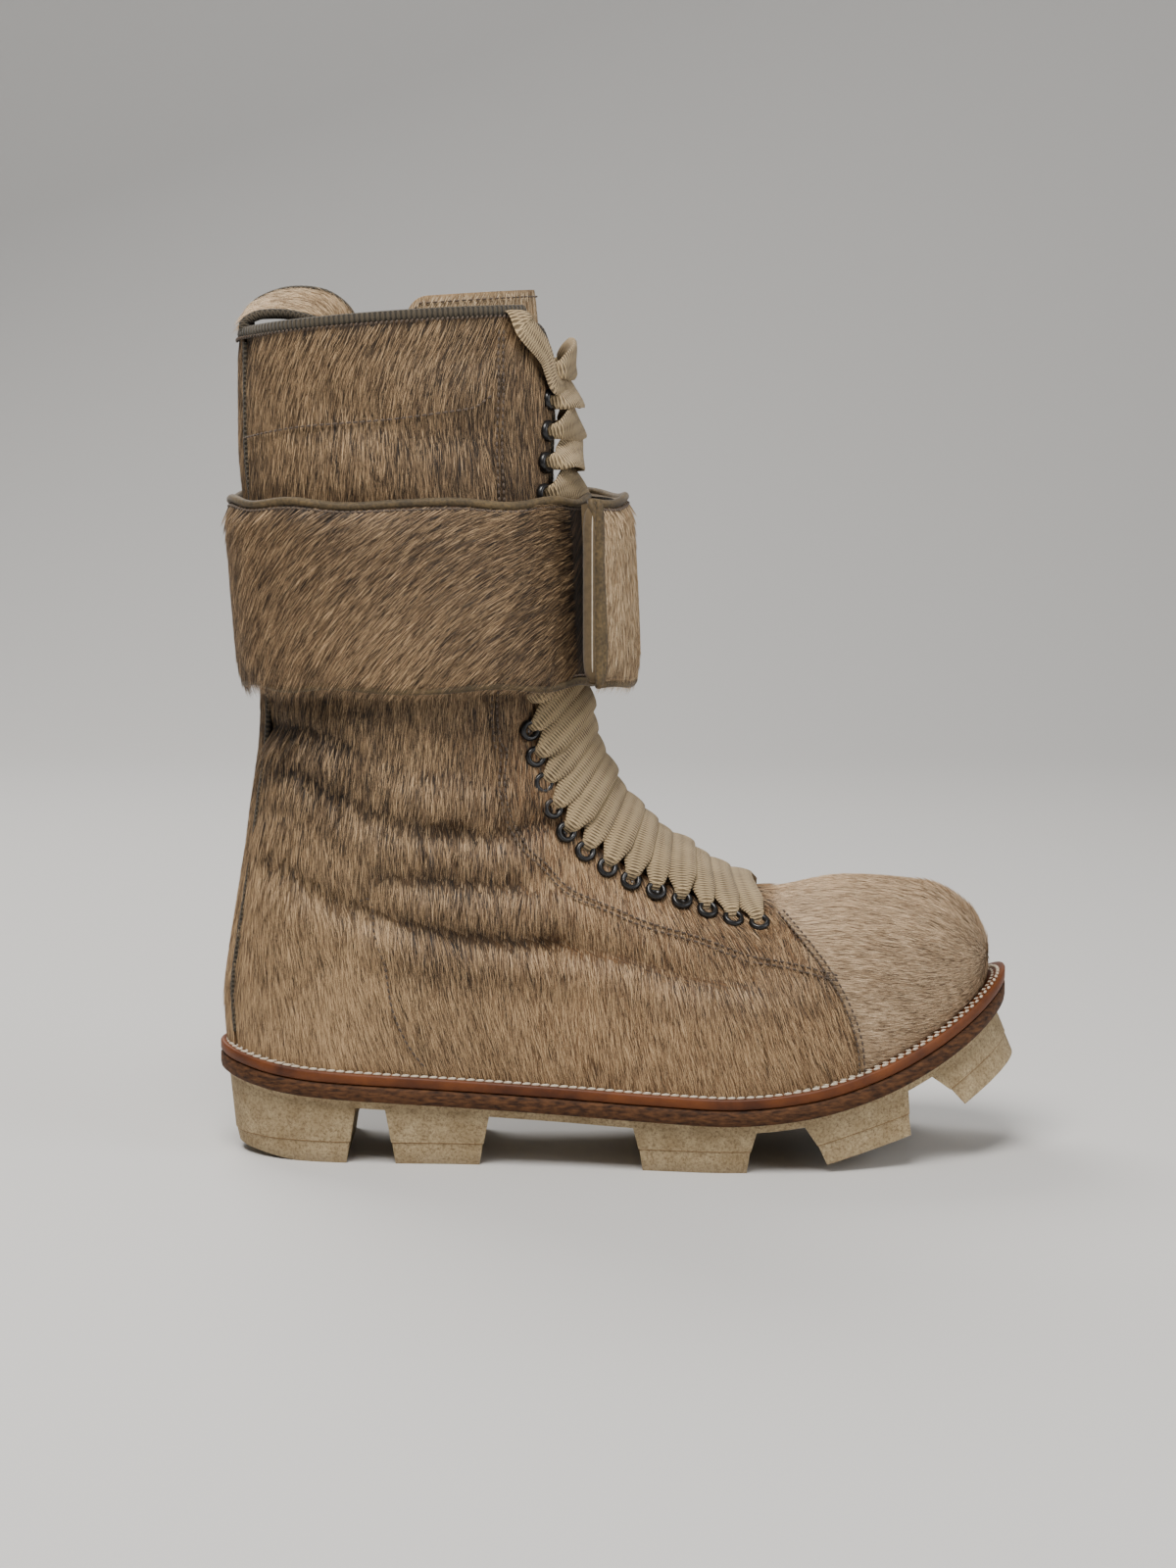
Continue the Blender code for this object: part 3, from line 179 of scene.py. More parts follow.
# The sole's outline, from the heel's back to the toe's tip:
# station (share of length), outer side and inner side (shares of ball width, from the heel's centre line)
OUTLINE = np.array([
    (0.000, 0.000, 0.000),
    (0.030, -0.192, 0.192),
    (0.080, -0.288, 0.288),
    (0.160, -0.345, 0.336),
    (0.300, -0.367, 0.323),
    (0.420, -0.402, 0.319),
    (0.540, -0.463, 0.367),
    (0.640, -0.502, 0.437),
    (0.740, -0.498, 0.485),
    (0.820, -0.450, 0.489),
    (0.890, -0.362, 0.454),
    (0.950, -0.236, 0.376),
    (0.985, -0.096, 0.253),
    (1.000, 0.087, 0.087),
])
OUTER_INDEX, INNER_INDEX = 1, 2
OUTLINE_POINTS = 361


def outline_side(column, inset):
    """One side of the outline, heel to toe, moved inwards by inset (a number or a function of x)."""
    turn = np.arccos(1 - 2 * OUTLINE[:, 0])
    at = np.linspace(0, math.pi, OUTLINE_POINTS)
    x = SOLE_LENGTH * (1 - np.cos(at)) / 2
    y = BALL_WIDTH * smooth_curve(turn, OUTLINE[:, column], at)
    run = np.stack([np.gradient(x), np.gradient(y)], 1)
    run[0] = (0, run[1][1])
    run[-1] = (0, run[-2][1])
    run /= np.linalg.norm(run, axis=1)[:, None]
    inwards = 1.0 if column == OUTER_INDEX else -1.0
    depth = inset(x) if callable(inset) else inset
    x = x - inwards * run[:, 1] * depth
    y = y + inwards * run[:, 0] * depth
    return x, y


TREAD_POINT = 0.636 * SOLE_LENGTH
HEEL_ROUND_END = 0.13 * SOLE_LENGTH


def underside(x):
    """Height of the midsole's underside: heel lift, flat tread, then an arc up to the toe."""
    x = np.asarray(x, float)
    reach = SOLE_LENGTH - TREAD_POINT
    radius = (reach**2 + TOE_SPRING**2) / (2 * TOE_SPRING)
    ahead = np.clip(x - TREAD_POINT, 0, reach)
    lift = HEEL_LIFT * np.clip(1 - x / TREAD_POINT, 0, 1) ** 1.2
    rise = HEEL_RISE * np.clip(1 - x / HEEL_ROUND_END, 0, 1) ** 2
    return LUG_HEIGHT + lift + rise + radius - np.sqrt(radius**2 - ahead**2)


def steepness(x):
    """Slope of the sole's run, in radians."""
    step = 0.001
    return np.arctan((underside(x + step) - underside(x - step)) / (2 * step))


def layer(height):
    """A surface of the sole's stack, this far above the midsole's underside along its normal."""
    return lambda x: underside(x) + height / np.cos(steepness(np.minimum(x, 0.97 * SOLE_LENGTH)))


def ring_levels(levels, stations=SOLE_POINTS):
    """Loops round the sole, one for each (inset, height function), with matching points on both sides."""
    turn = np.linspace(0, math.pi, stations)
    loops = []
    for inset, height in levels:
        outer_x, outer_y = outline_side(OUTER_INDEX, inset)
        inner_x, inner_y = outline_side(INNER_INDEX, inset)
        x = outer_x[0] + (outer_x[-1] - outer_x[0]) * (1 - np.cos(turn)) / 2
        near, far = np.interp(x, outer_x, outer_y), np.interp(x, inner_x, inner_y)
        near[-1] = far[-1] = (near[-1] + far[-1]) / 2
        near[0] = far[0] = 0.0
        sides = [np.stack([x + HEEL_BACK, y, height(x)], 1) for y in (near, far)]
        loops.append(np.concatenate([sides[0], sides[1][::-1]]))
    return loops


# The lugs, heel to toe: where each begins and ends at its root (shares of length)
LUGS = np.array([
    # from, to
    (0.000, 0.178),
    (0.214, 0.345),
    (0.522, 0.676),
    (0.732, 0.864),
    (0.892, 1.000),
])


def lug_loop(start, end, inset, ends_in, lift):
    """A loop round one lug: the sole's sides between its two ends, which are drawn in by ends_in."""
    outer_x, outer_y = outline_side(OUTER_INDEX, inset)
    inner_x, inner_y = outline_side(INNER_INDEX, inset)
    low = outer_x[0] if start <= 0 else start * SOLE_LENGTH + ends_in
    high = outer_x[-1] if end >= 1 else end * SOLE_LENGTH - ends_in
    share = np.linspace(0, 1, LUG_POINTS)
    if start <= 0:
        share = 1 - np.cos(share * math.pi / 2)
    if end >= 1:
        share = np.sin(share * math.pi / 2)
    x = low + (high - low) * share
    near, far = np.interp(x, outer_x, outer_y), np.interp(x, inner_x, inner_y)
    if start <= 0:
        near[0] = far[0] = 0.0
    if end >= 1:
        near[-1] = far[-1] = (near[-1] + far[-1]) / 2
    z = underside(x) + lift
    return np.concatenate([np.stack([x, near, z], 1), np.stack([x, far, z], 1)[::-1]])


def lug_points(number):
    """The loops round one lug, from its root down: its side to a small step, and on to its tread."""
    start, end = LUGS[number]
    centre = (start + end) / 2 * SOLE_LENGTH
    slope = 0.0 if number < GROUND_LUGS else float(steepness(centre))
    down = np.array([math.sin(slope), 0.0, -math.cos(slope)])
    root = np.array([centre, 0.0, float(underside(centre))])
    depth = root[2] if number < GROUND_LUGS else LUG_HEIGHT
    step_inset = OUTSOLE_INSET + LUG_STEP_SHARE * LUG_DRAFT
    step_ends = LUG_STEP_SHARE * LUG_LENGTH_DRAFT
    loops = []
    stages = [
        (OUTSOLE_INSET, 0.0, 0.0),
        (step_inset, step_ends, depth - LUG_STEP_HEIGHT),
        (step_inset + LUG_STEP, step_ends + LUG_STEP, depth - LUG_STEP_HEIGHT),
        (OUTSOLE_INSET + LUG_DRAFT, LUG_LENGTH_DRAFT, depth),
    ]
    for inset, ends_in, drop in stages:
        loop = lug_loop(start, end, inset, ends_in, 0.0)
        if drop == 0.0:
            loop[:, 2] -= OUTSOLE_BASE - LUG_OVERLAP
        else:
            floor = root + down * drop
            reach = (floor - loop) @ down
            loop = loop + reach[:, None] * down
        loops.append(loop)
    if start <= 0:
        bevel = np.clip(1 - loops[-1][:, 0] / (HEEL_BEVEL_END * SOLE_LENGTH), 0, 1)
        loops[-1][:, 2] += HEEL_BEVEL * bevel
    return loops


def flat_loft(loops, n, faces, start):
    """Side faces between closed loops of n points, and flat strips over the first and the last."""
    for k in range(loops - 1):
        for i in range(n):
            j = (i + 1) % n
            low, high = start + k * n, start + (k + 1) * n
            faces.append((low + i, low + j, high + j, high + i))
    for cap in (start, start + (loops - 1) * n):
        for i in range(n // 2 - 1):
            faces.append((cap + i, cap + i + 1, cap + n - 2 - i, cap + n - 1 - i))


def write_attributes(mesh, attributes):
    for key, values in attributes.items():
        kind, field = ("FLOAT_VECTOR", "vector") if values.shape[-1] == 3 else ("FLOAT", "value")
        mesh.attributes.new(key, kind, "POINT").data.foreach_set(field, np.asarray(values, float).ravel())


def clean_mesh(name, points, faces, finish, attributes=None):
    """A smooth-shaded mesh: doubles merged and faces turned out."""
    mesh = bpy.data.meshes.new(name)
    mesh.from_pydata([tuple(p) for p in points], [], faces)
    write_attributes(mesh, attributes or {})
    work = bmesh.new()
    work.from_mesh(mesh)
    bmesh.ops.remove_doubles(work, verts=work.verts, dist=2e-6)
    bmesh.ops.dissolve_degenerate(work, dist=1e-7, edges=work.edges)
    bmesh.ops.recalc_face_normals(work, faces=work.faces)
    work.to_mesh(mesh)
    work.free()
    mesh.shade_smooth()
    mesh.materials.append(finish)
    return mesh


def place_piece(name, mesh, node=None):
    """Puts a mesh on the boot. It rides on the boot's one body, and replaces the nodes that it stands for."""
    piece = bpy.data.objects.new(name, mesh)
    bpy.context.scene.collection.objects.link(piece)
    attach(piece, "root")
    if node:
        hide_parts(*([node] if isinstance(node, str) else node))
    return piece


def new_piece(name, points, faces, finish, node, smooth=180, attributes=None):
    """A piece from its points and faces, with edges sharp past an angle in degrees."""
    mesh = clean_mesh(name, points, faces, finish, attributes)
    if smooth < 180:
        mesh.set_sharp_from_angle(angle=math.radians(smooth))
    return place_piece(name, mesh, node)


def noise(tree, place, scale, detail, roughness=0.5):
    inputs = {"Vector": place, "Scale": scale, "Detail": detail, "Roughness": roughness}
    return put_node(tree, "ShaderNodeTexNoise", inputs).outputs["Fac"]


def span(tree, value, low, high, first=0.0, last=1.0):
    """Maps low to first and high to last, and goes no further."""
    inputs = {"Value": value, "From Min": low, "From Max": high, "To Min": first, "To Max": last}
    return put_node(tree, "ShaderNodeMapRange", inputs).outputs["Result"]


def blend(tree, factor, a, b):
    mixed = put_node(tree, "ShaderNodeMix", {"Factor": factor, "A": a, "B": b}, data_type="RGBA")
    return mixed.outputs["Result"]


def calc(tree, operation, *values, clamp=False):
    made = put_node(tree, "ShaderNodeMath", dict(enumerate(values)), operation=operation, use_clamp=clamp)
    return made.outputs["Value"]


def object_place(tree):
    return put_node(tree, "ShaderNodeTexCoord").outputs["Object"]


def dress(finish, colour, height=None, strength=0.0, distance=0.0, rough=None):
    """Feeds a finish's shader with its colour, its relief and, where it varies, its roughness."""
    tree = finish.node_tree
    shader = tree.nodes["Principled BSDF"]
    tree.links.new(colour, shader.inputs["Base Color"])
    if height:
        relief = {"Strength": strength, "Distance": distance, "Height": height}
        bump = put_node(tree, "ShaderNodeBump", relief)
        tree.links.new(bump.outputs["Normal"], shader.inputs["Normal"])
    if rough:
        tree.links.new(rough, shader.inputs["Roughness"])
    return finish


def gum_rubber():
    """Pale crumbed gum: fine pores, a dusty mottle, and grime on the treads."""
    finish, tree = new_finish("gum_rubber", 0.8)
    where = object_place(tree)
    crumb = noise(tree, where, 900.0, 4.0, 0.75)
    mottle = noise(tree, where, 120.0, 5.0, 0.65)
    rubber = blend(tree, span(tree, mottle, 0.3, 0.72), RUBBER_DARK, RUBBER_PALE)
    pored = blend(tree, span(tree, crumb, 0.36, 0.56, 0.75, 0.0), rubber, PORE_COLOUR)
    height = put_node(tree, "ShaderNodeSeparateXYZ", {"Vector": where}).outputs["Z"]
    grime = calc(tree, "MULTIPLY", span(tree, height, 0.0, 0.005, 1.0, 0.0), mottle)
    return dress(finish, blend(tree, grime, pored, GRIME_COLOUR), crumb, 0.9, 0.0010)


def unit(vectors):
    return vectors / np.maximum(np.linalg.norm(vectors, axis=-1, keepdims=True), 1e-12)


def run_along(points):
    """The distance run at each point of a path."""
    return np.concatenate([[0], np.cumsum(np.linalg.norm(np.diff(points, axis=0), axis=1))])


def path_frames(points, up, closed=False):
    """Unit directions beside and out from a path, from rough outward directions."""
    if closed:
        ahead = np.roll(points, -1, axis=0) - np.roll(points, 1, axis=0)
    else:
        ahead = np.gradient(points, axis=0)
    side = unit(np.cross(up, ahead))
    return side, np.cross(unit(ahead), side)


def tube_parts(middle, side, up, half_side, half_up, square=2.0, points_round=12, closed=False, start=0):
    """A flattened tube along a path: its points and faces, and each point's measure along and across."""
    turn = np.linspace(0, 2 * math.pi, points_round, endpoint=False)
    c, s = (np.sign(v) * np.abs(v) ** (2 / square) for v in (np.cos(turn), np.sin(turn)))
    half_side, half_up = (np.broadcast_to(v, len(middle))[:, None] for v in (half_side, half_up))
    wide, high = c[None, :] * half_side, s[None, :] * half_up
    rings = middle[:, None] + side[:, None] * wide[..., None] + up[:, None] * high[..., None]
    measure = np.stack(np.broadcast_arrays(run_along(middle)[:, None], wide, 0.0), -1)
    n, m = points_round, len(middle)
    faces = []
    for i in range(m if closed else m - 1):
        low, high = start + i * n, start + (i + 1) % m * n
        faces += [(low + k, low + (k + 1) % n, high + (k + 1) % n, high + k) for k in range(n)]
    if not closed:
        faces.append(tuple(start + k for k in reversed(range(n))))
        faces.append(tuple(start + (m - 1) * n + k for k in range(n)))
    return rings.reshape(-1, 3), faces, measure.reshape(-1, 3)


def mould_outsole():
    points, faces = [], []
    base = ring_levels([
        (OUTSOLE_INSET + 0.0005, lambda x: layer(-GAP)(x) - OUTSOLE_BASE),
        (OUTSOLE_INSET - 0.0005, layer(-GAP)),
    ])
    flat_loft(len(base), len(base[0]), faces, 0)
    points += [p for ring in base for p in ring]
    for number in range(len(LUGS)):
        loops = lug_points(number)
        flat_loft(len(loops), len(loops[0]), faces, len(points))
        points += [p + np.array([HEEL_BACK, 0, 0]) for loop in loops for p in loop]
    rubber = new_piece("outsole_rubber", points, faces, gum_rubber(), "outsole", 30)
    bevel = rubber.modifiers.new("rounded_edge", "BEVEL")
    bevel.width, bevel.segments, bevel.limit_method = LUG_EDGE, 2, "ANGLE"
    bevel.angle_limit = math.radians(40)


def draw_mould_lines():
    """The fine line that the two halves of the mould leave round each lug, coloured dark as painted shade of
    its small step.
    """
    finish, _ = new_finish("mould_line", 0.7, Base_Color=MOULD_LINE_SHADE)
    points, faces = [], []
    for number in range(len(LUGS)):
        loop = lug_points(number)[MOULD_LINE_LOOP] + np.array([HEEL_BACK, 0, 0])
        loop = loop[np.linalg.norm(loop - np.roll(loop, 1, axis=0), axis=1) > 1e-5]
        side, out = path_frames(loop, np.tile((0.0, 0.0, 1.0), (len(loop), 1)), closed=True)
        verts, ring, _ = tube_parts(
            loop, side, out, MOULD_LINE, MOULD_LINE, 2.0, 6, closed=True, start=len(points))
        points += list(verts)
        faces += ring
    new_piece("mould_lines", points, faces, finish, None)


mould_outsole()
draw_mould_lines()


# Midsole: a layer of stacked leather between the outsole and the welt.
# Its edge is trimmed flush with the welt's, stained dark brown and left a little rough.
MIDSOLE_THICKNESS = 0.0063
STAIN_DARK, STAIN_PALE = (0.022, 0.009, 0.004, 1.0), (0.135, 0.056, 0.021, 1.0)


def stretch(tree, place, scale):
    return put_node(tree, "ShaderNodeMapping", {"Vector": place, "Scale": scale}).outputs["Vector"]


def dark_edge_leather():
    finish, tree = new_finish("midsole_edge", 0.72, Specular_IOR_Level=0.25)
    where = object_place(tree)
    fibres = noise(tree, stretch(tree, where, (260.0, 260.0, 900.0)), 1.0, 5.0)
    tone = blend(tree, span(tree, fibres, 0.32, 0.75), STAIN_DARK, STAIN_PALE)
    return dress(finish, tone, calc(tree, "ADD", fibres, noise(tree, where, 900.0, 3.0)), 0.5, 0.0005)


def stack_midsole():
    top = MIDSOLE_THICKNESS
    loops = ring_levels([
        (EDGE_ROUND, layer(0.0)),
        (0.0003, layer(0.0006)),
        (0.0, layer(EDGE_ROUND + 0.0006)),
        (0.0, layer(top - EDGE_ROUND)),
        (0.0006, layer(top - 0.0002)),
        (0.0012, layer(top)),
    ])
    faces = []
    flat_loft(len(loops), len(loops[0]), faces, 0)
    new_piece("midsole_edge", np.concatenate(loops), faces, dark_edge_leather(), "midsole", 50)


stack_midsole()


# Welt: a strip of orange-brown vegetable leather round the whole boot, burnished smooth on its edge.
# Cream thread holds it: one row all round in a shallow groove, and a second one inside it at heel and toe.
WELT_THICKNESS, WELT_WIDTH, WELT_GROOVE = 0.0042, 0.016, 0.0003
WELT_BOTTOM = MIDSOLE_THICKNESS + GAP
WELT_TOP = WELT_BOTTOM + WELT_THICKNESS
UPPER_FOOT = WELT_TOP + GAP
FEATHER_INSET, TOE_MARGIN = 0.005, 0.0025
WELT_ROW_INSET, SECOND_ROW_INSET, WELT_ROW_POINTS = 0.0029, 0.0049, 241
WELT_STITCH = {"Pitch": 0.0036, "Length": 0.0038, "Thickness": 0.0014, "Slant": 0.3}
SECOND_STITCH = {"Pitch": 0.0036, "Length": 0.0032, "Thickness": 0.0010, "Slant": -0.35}
# The second row's two stretches, at the heel and round the toe (shares of length)
SECOND_ROW_RUNS = ((-0.1, 0.1), (0.72, 1.1))
WELT_DARK, WELT_PALE = (0.046, 0.012, 0.004, 1.0), (0.175, 0.050, 0.011, 1.0)
CREAM, CREAM_SHADE = (0.74, 0.66, 0.53, 1.0), (0.40, 0.32, 0.22, 1.0)


def burnished_leather():
    finish, tree = new_finish("welt_leather", 0.5, Specular_IOR_Level=0.3)
    where = object_place(tree)
    cloud, grain = noise(tree, where, 55.0, 6.0, 0.6), noise(tree, where, 1300.0, 2.0)
    tone = blend(tree, span(tree, cloud, 0.3, 0.72), WELT_DARK, WELT_PALE)
    return dress(finish, tone, grain, 0.25, 0.0003, span(tree, cloud, 0.0, 1.0, 0.42, 0.65))


def thread_finish(name, light, dark):
    """Twisted thread: its colour swings between two tones from stitch to stitch."""
    finish, tree = new_finish(name, 0.7, Sheen_Weight=0.2)
    fluff = noise(tree, object_place(tree), 700.0, 3.0)
    return dress(finish, blend(tree, fluff, dark, light), fluff, 0.4, 0.0003)


def new_tree(name, kind, inputs, outputs):
    """An empty node group and what it is given. Each input and output has a name and its socket's kind."""
    tree = bpy.data.node_groups.new(name, kind)
    for way, sockets in (("INPUT", inputs), ("OUTPUT", outputs)):
        for key, socket in sockets.items():
            tree.interface.new_socket(key, in_out=way, socket_type="NodeSocket" + socket)
    return tree, tree.nodes.new("NodeGroupInput").outputs


def painted(tree, name, kind="FLOAT_VECTOR"):
    """What the named attribute says at each point."""
    made = put_node(tree, "GeometryNodeInputNamedAttribute", {"Name": name}, data_type=kind)
    return made.outputs["Attribute"]


def aligned(tree, vector, axis, rotation=None):
    """A rotation with an axis along a vector, or else a given rotation turned about its Z to face it."""
    if rotation is None:
        made = put_node(tree, "FunctionNodeAlignRotationToVector", {"Vector": vector}, axis=axis)
    else:
        inputs = {"Rotation": rotation, "Vector": vector}
        made = put_node(tree, "FunctionNodeAlignRotationToVector", inputs, axis=axis, pivot_axis="Z")
    return made.outputs["Rotation"]


def turned(tree, rotation, angles):
    """A rotation with more turns added about its own axes."""
    more = put_node(tree, "ShaderNodeCombineXYZ", angles)
    more = put_node(tree, "FunctionNodeEulerToRotation", {"Euler": more.outputs["Vector"]})
    inputs = {"Rotation": rotation, "Rotate By": more.outputs["Rotation"]}
    return put_node(tree, "FunctionNodeRotateRotation", inputs, rotation_space="LOCAL").outputs["Rotation"]


def settle(tree, instances, finish, name, smooth=False):
    """The end of a tree: its instances made real, and their material set."""
    real = put_node(tree, "GeometryNodeRealizeInstances", {"Geometry": instances}).outputs["Geometry"]
    if smooth:
        real = put_node(tree, "GeometryNodeSetShadeSmooth", {"Geometry": real}).outputs["Geometry"]
    dyed = put_node(tree, "GeometryNodeSetMaterial", {"Geometry": real, "Material": finish})
    put_node(tree, "NodeGroupOutput", {name: dyed.outputs["Geometry"]})
    return tree


def stitch_tree():
    """Geometry Nodes: a row of stitches along an edge path, each lying along it on the surface."""
    tree, given = new_tree("stitch_row", "GeometryNodeTree", {
        "Path": "Geometry", "Pitch": "Float", "Length": "Float", "Thickness": "Float", "Slant": "Float",
        "Thread": "Material"}, {"Stitches": "Geometry"})
    line = put_node(tree, "GeometryNodeMeshToCurve", {"Mesh": given["Path"]})
    steps = {"Curve": line.outputs["Curve"], "Length": given["Pitch"]}
    spaced = put_node(tree, "GeometryNodeResampleCurve", steps, mode="LENGTH")
    body = put_node(tree, "GeometryNodeMeshUVSphere", {"Segments": 6, "Rings": 4, "Radius": 0.5})
    ahead = put_node(tree, "GeometryNodeInputTangent")
    along = aligned(tree, ahead.outputs["Tangent"], "X", aligned(tree, painted(tree, "outward"), "Z"))
    facing = turned(tree, along, {"Z": given["Slant"]})
    size = put_node(tree, "ShaderNodeCombineXYZ", {
        "X": given["Length"], "Y": given["Thickness"], "Z": given["Thickness"]})
    laid = put_node(tree, "GeometryNodeInstanceOnPoints", {
        "Points": spaced.outputs["Curve"], "Instance": body.outputs["Mesh"],
        "Rotation": facing, "Scale": size.outputs["Vector"]})
    return settle(tree, laid.outputs["Instances"], given["Thread"], "Stitches", smooth=True)


def grow(name, base, tree, values, node=None):
    """Runs a Geometry Nodes tree on a base object, keeps the plain mesh it makes, and drops the base."""
    bpy.context.scene.collection.objects.link(base)
    work = base.modifiers.new(name, "NODES")
    work.node_group = tree
    for item in tree.interface.items_tree:
        if item.item_type == "SOCKET" and item.in_out == "INPUT" and item.name in values:
            work[item.identifier] = values[item.name]
    bpy.context.view_layer.update()
    graph = bpy.context.evaluated_depsgraph_get()
    mesh = bpy.data.meshes.new_from_object(base.evaluated_get(graph))
    bpy.data.objects.remove(base)
    mesh.name = name
    return place_piece(name, mesh, node)


def path_object(runs):
    """An object of open edge paths. Each run is (points, outward directions, closed)."""
    points, edges, outward = [], [], []
    for run, up, closed in runs:
        start = len(points)
        points += [tuple(p) for p in run]
        outward += [tuple(u) for u in up]
        edges += [(start + i, start + i + 1) for i in range(len(run) - 1)]
        if closed:
            edges.append((start + len(run) - 1, start))
    mesh = bpy.data.meshes.new("seam_path")
    mesh.from_pydata(points, edges, [])
    write_attributes(mesh, {"outward": np.array(outward, float)})
    return bpy.data.objects.new("seam_path", mesh)


STITCH_TREE = stitch_tree()
WELT_FINISH = burnished_leather()
CREAM_THREAD = thread_finish("cream_thread", CREAM, CREAM_SHADE)


def sew(name, runs, thread, stitch):
    """Stitches along every run, in one piece. The stitch gives their pitch, length, thickness and slant."""
    grow(name, path_object(runs), STITCH_TREE, {**stitch, "Thread": thread})


def lay_welt():
    bottom, top, dip = layer(WELT_BOTTOM), layer(WELT_TOP), layer(WELT_TOP - WELT_GROOVE)
    loops = ring_levels([
        (WELT_WIDTH, bottom), (0.0005, bottom), (0.0, layer(WELT_BOTTOM + 0.0006)),
        (0.0, layer(WELT_TOP - 0.0009)), (0.0004, layer(WELT_TOP - 0.0002)), (0.0012, top),
        (0.0021, dip), (0.0034, dip), (0.0043, top), (WELT_WIDTH, top),
    ])
    n, count = len(loops[0]), len(loops)
    faces = [
        (k * n + i, k * n + (i + 1) % n, (k + 1) % count * n + (i + 1) % n, (k + 1) % count * n + i)
        for k in range(count) for i in range(n)
    ]
    new_piece("welt_strip", np.concatenate(loops), faces, WELT_FINISH, "welt", 60)


def welt_row(inset, lift):
    """Points of a row of thread on the welt, this far in from its edge, and their shares of the length."""
    ring, = ring_levels([(inset, layer(WELT_TOP + lift))], WELT_ROW_POINTS)
    ring = np.delete(ring, (WELT_ROW_POINTS, 2 * WELT_ROW_POINTS - 1), axis=0)
    return ring, (ring[:, 0] - HEEL_BACK) / SOLE_LENGTH


def sew_welt():
    ring, _ = welt_row(WELT_ROW_INSET, -0.0001)
    sew("welt_thread", [(ring, [(0, 0, 1)] * len(ring), True)], CREAM_THREAD, WELT_STITCH)
    ring, share = welt_row(SECOND_ROW_INSET, 0.0002)
    runs = []
    for first, last in SECOND_ROW_RUNS:
        spot = np.flatnonzero((share >= first) & (share <= last))
        for part in np.split(spot, np.flatnonzero(np.diff(spot) > 1) + 1):
            runs.append((ring[part], [(0, 0, 1)] * len(part), False))
    sew("welt_thread_second", runs, CREAM_THREAD, SECOND_STITCH)


def feather_inset(x):
    """How far the upper's lower edge stands in from the sole's edge: more round the toe."""
    return FEATHER_INSET + TOE_MARGIN * np.clip((x / SOLE_LENGTH - 0.7) / 0.3, 0, 1)


lay_welt()
sew_welt()


# Insole: the board that the foot stands on inside, of plain tan leather.
# It lies on the midsole inside the welt, with the cork filler hidden under it.
INSOLE_DARK, INSOLE_PALE = (0.16, 0.095, 0.05, 1.0), (0.30, 0.20, 0.115, 1.0)


def plain_leather():
    finish, tree = new_finish("insole_leather", 0.6)
    where = object_place(tree)
    grain = put_node(tree, "ShaderNodeTexVoronoi", {"Vector": where, "Scale": 900.0}).outputs["Distance"]
    tone = blend(tree, noise(tree, where, 40.0, 5.0), INSOLE_DARK, INSOLE_PALE)
    return dress(finish, tone, grain, 0.3, 0.0003)


insole_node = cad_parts["insole"]
insole_node.data.materials.clear()
insole_node.data.materials.append(plain_leather())


# Upper: one shell of haired calf hide, 3 mm thick with its lining, from the toe to the collar.
# It is lasted over the insole, open at the collar and down the lacing gap, and creased where the ankle bends.
INSTEP_HEIGHT, COLLAR_HEIGHT = 0.185, 0.3225
SHAFT_DEPTH, SHAFT_WIDTH, SHAFT_AXIS = 0.118, 0.090, 0.074
WALL, COLLAR_CROWN = 0.0032, 0.0035
CAP_RECESS, CAP_THICKNESS = 0.0019, 0.0012
THROAT_HALF_GAP, THROAT_TOP_HALF_GAP, THROAT_CORNER = 0.036, 0.0085, 0.009
STRAP_BOTTOM, STRAP_HEIGHT = INSTEP_HEIGHT, 0.069
BACKSTAY_WIDTH, BACKSTAY_THICKNESS = 0.022, 0.0017

# Sections of the last below the ankle, toe to heel. Each lies in the plane through its top and bottom points.
# top: share of the way from the ankle's front to the toe; bottom: share of SOLE_LENGTH;
# level: share of INSTEP_HEIGHT; crest: share of BALL_WIDTH;
# widest half width = swell x half width at the welt + spread x BALL_WIDTH, at the share "at" of the way up
FOOT_SECTIONS = np.array([
    # top,  level, bottom, crest, swell, spread, at, dome
    (0.9560, 0.370, 0.9757, 0.087, 1.02, 0.000, 0.45, 2.3),
    (0.9620, 0.410, 0.9745, 0.086, 1.02, 0.000, 0.42, 2.3),
    (0.9366, 0.482, 0.9570, 0.080, 1.03, 0.000, 0.38, 2.4),
    (0.8297, 0.555, 0.8990, 0.060, 1.04, 0.000, 0.34, 2.4),
    (0.6359, 0.573, 0.7950, 0.036, 1.04, 0.000, 0.32, 2.3),
    (0.4348, 0.550, 0.6820, 0.020, 1.04, 0.000, 0.31, 2.1),
    (0.2591, 0.622, 0.5450, 0.014, 0.90, 0.061, 0.32, 2.0),
    (0.1178, 0.730, 0.3830, 0.010, 0.60, 0.162, 0.36, 2.0),
    (0.0399, 0.857, 0.2010, 0.006, 0.30, 0.253, 0.42, 2.1),
    (0.0091, 0.984, 0.0650, 0.003, 0.10, 0.314, 0.48, 2.2),
    (0.0000, 1.060, 0.0179, 0.000, 0.00, 0.335, 0.50, 2.3),
])
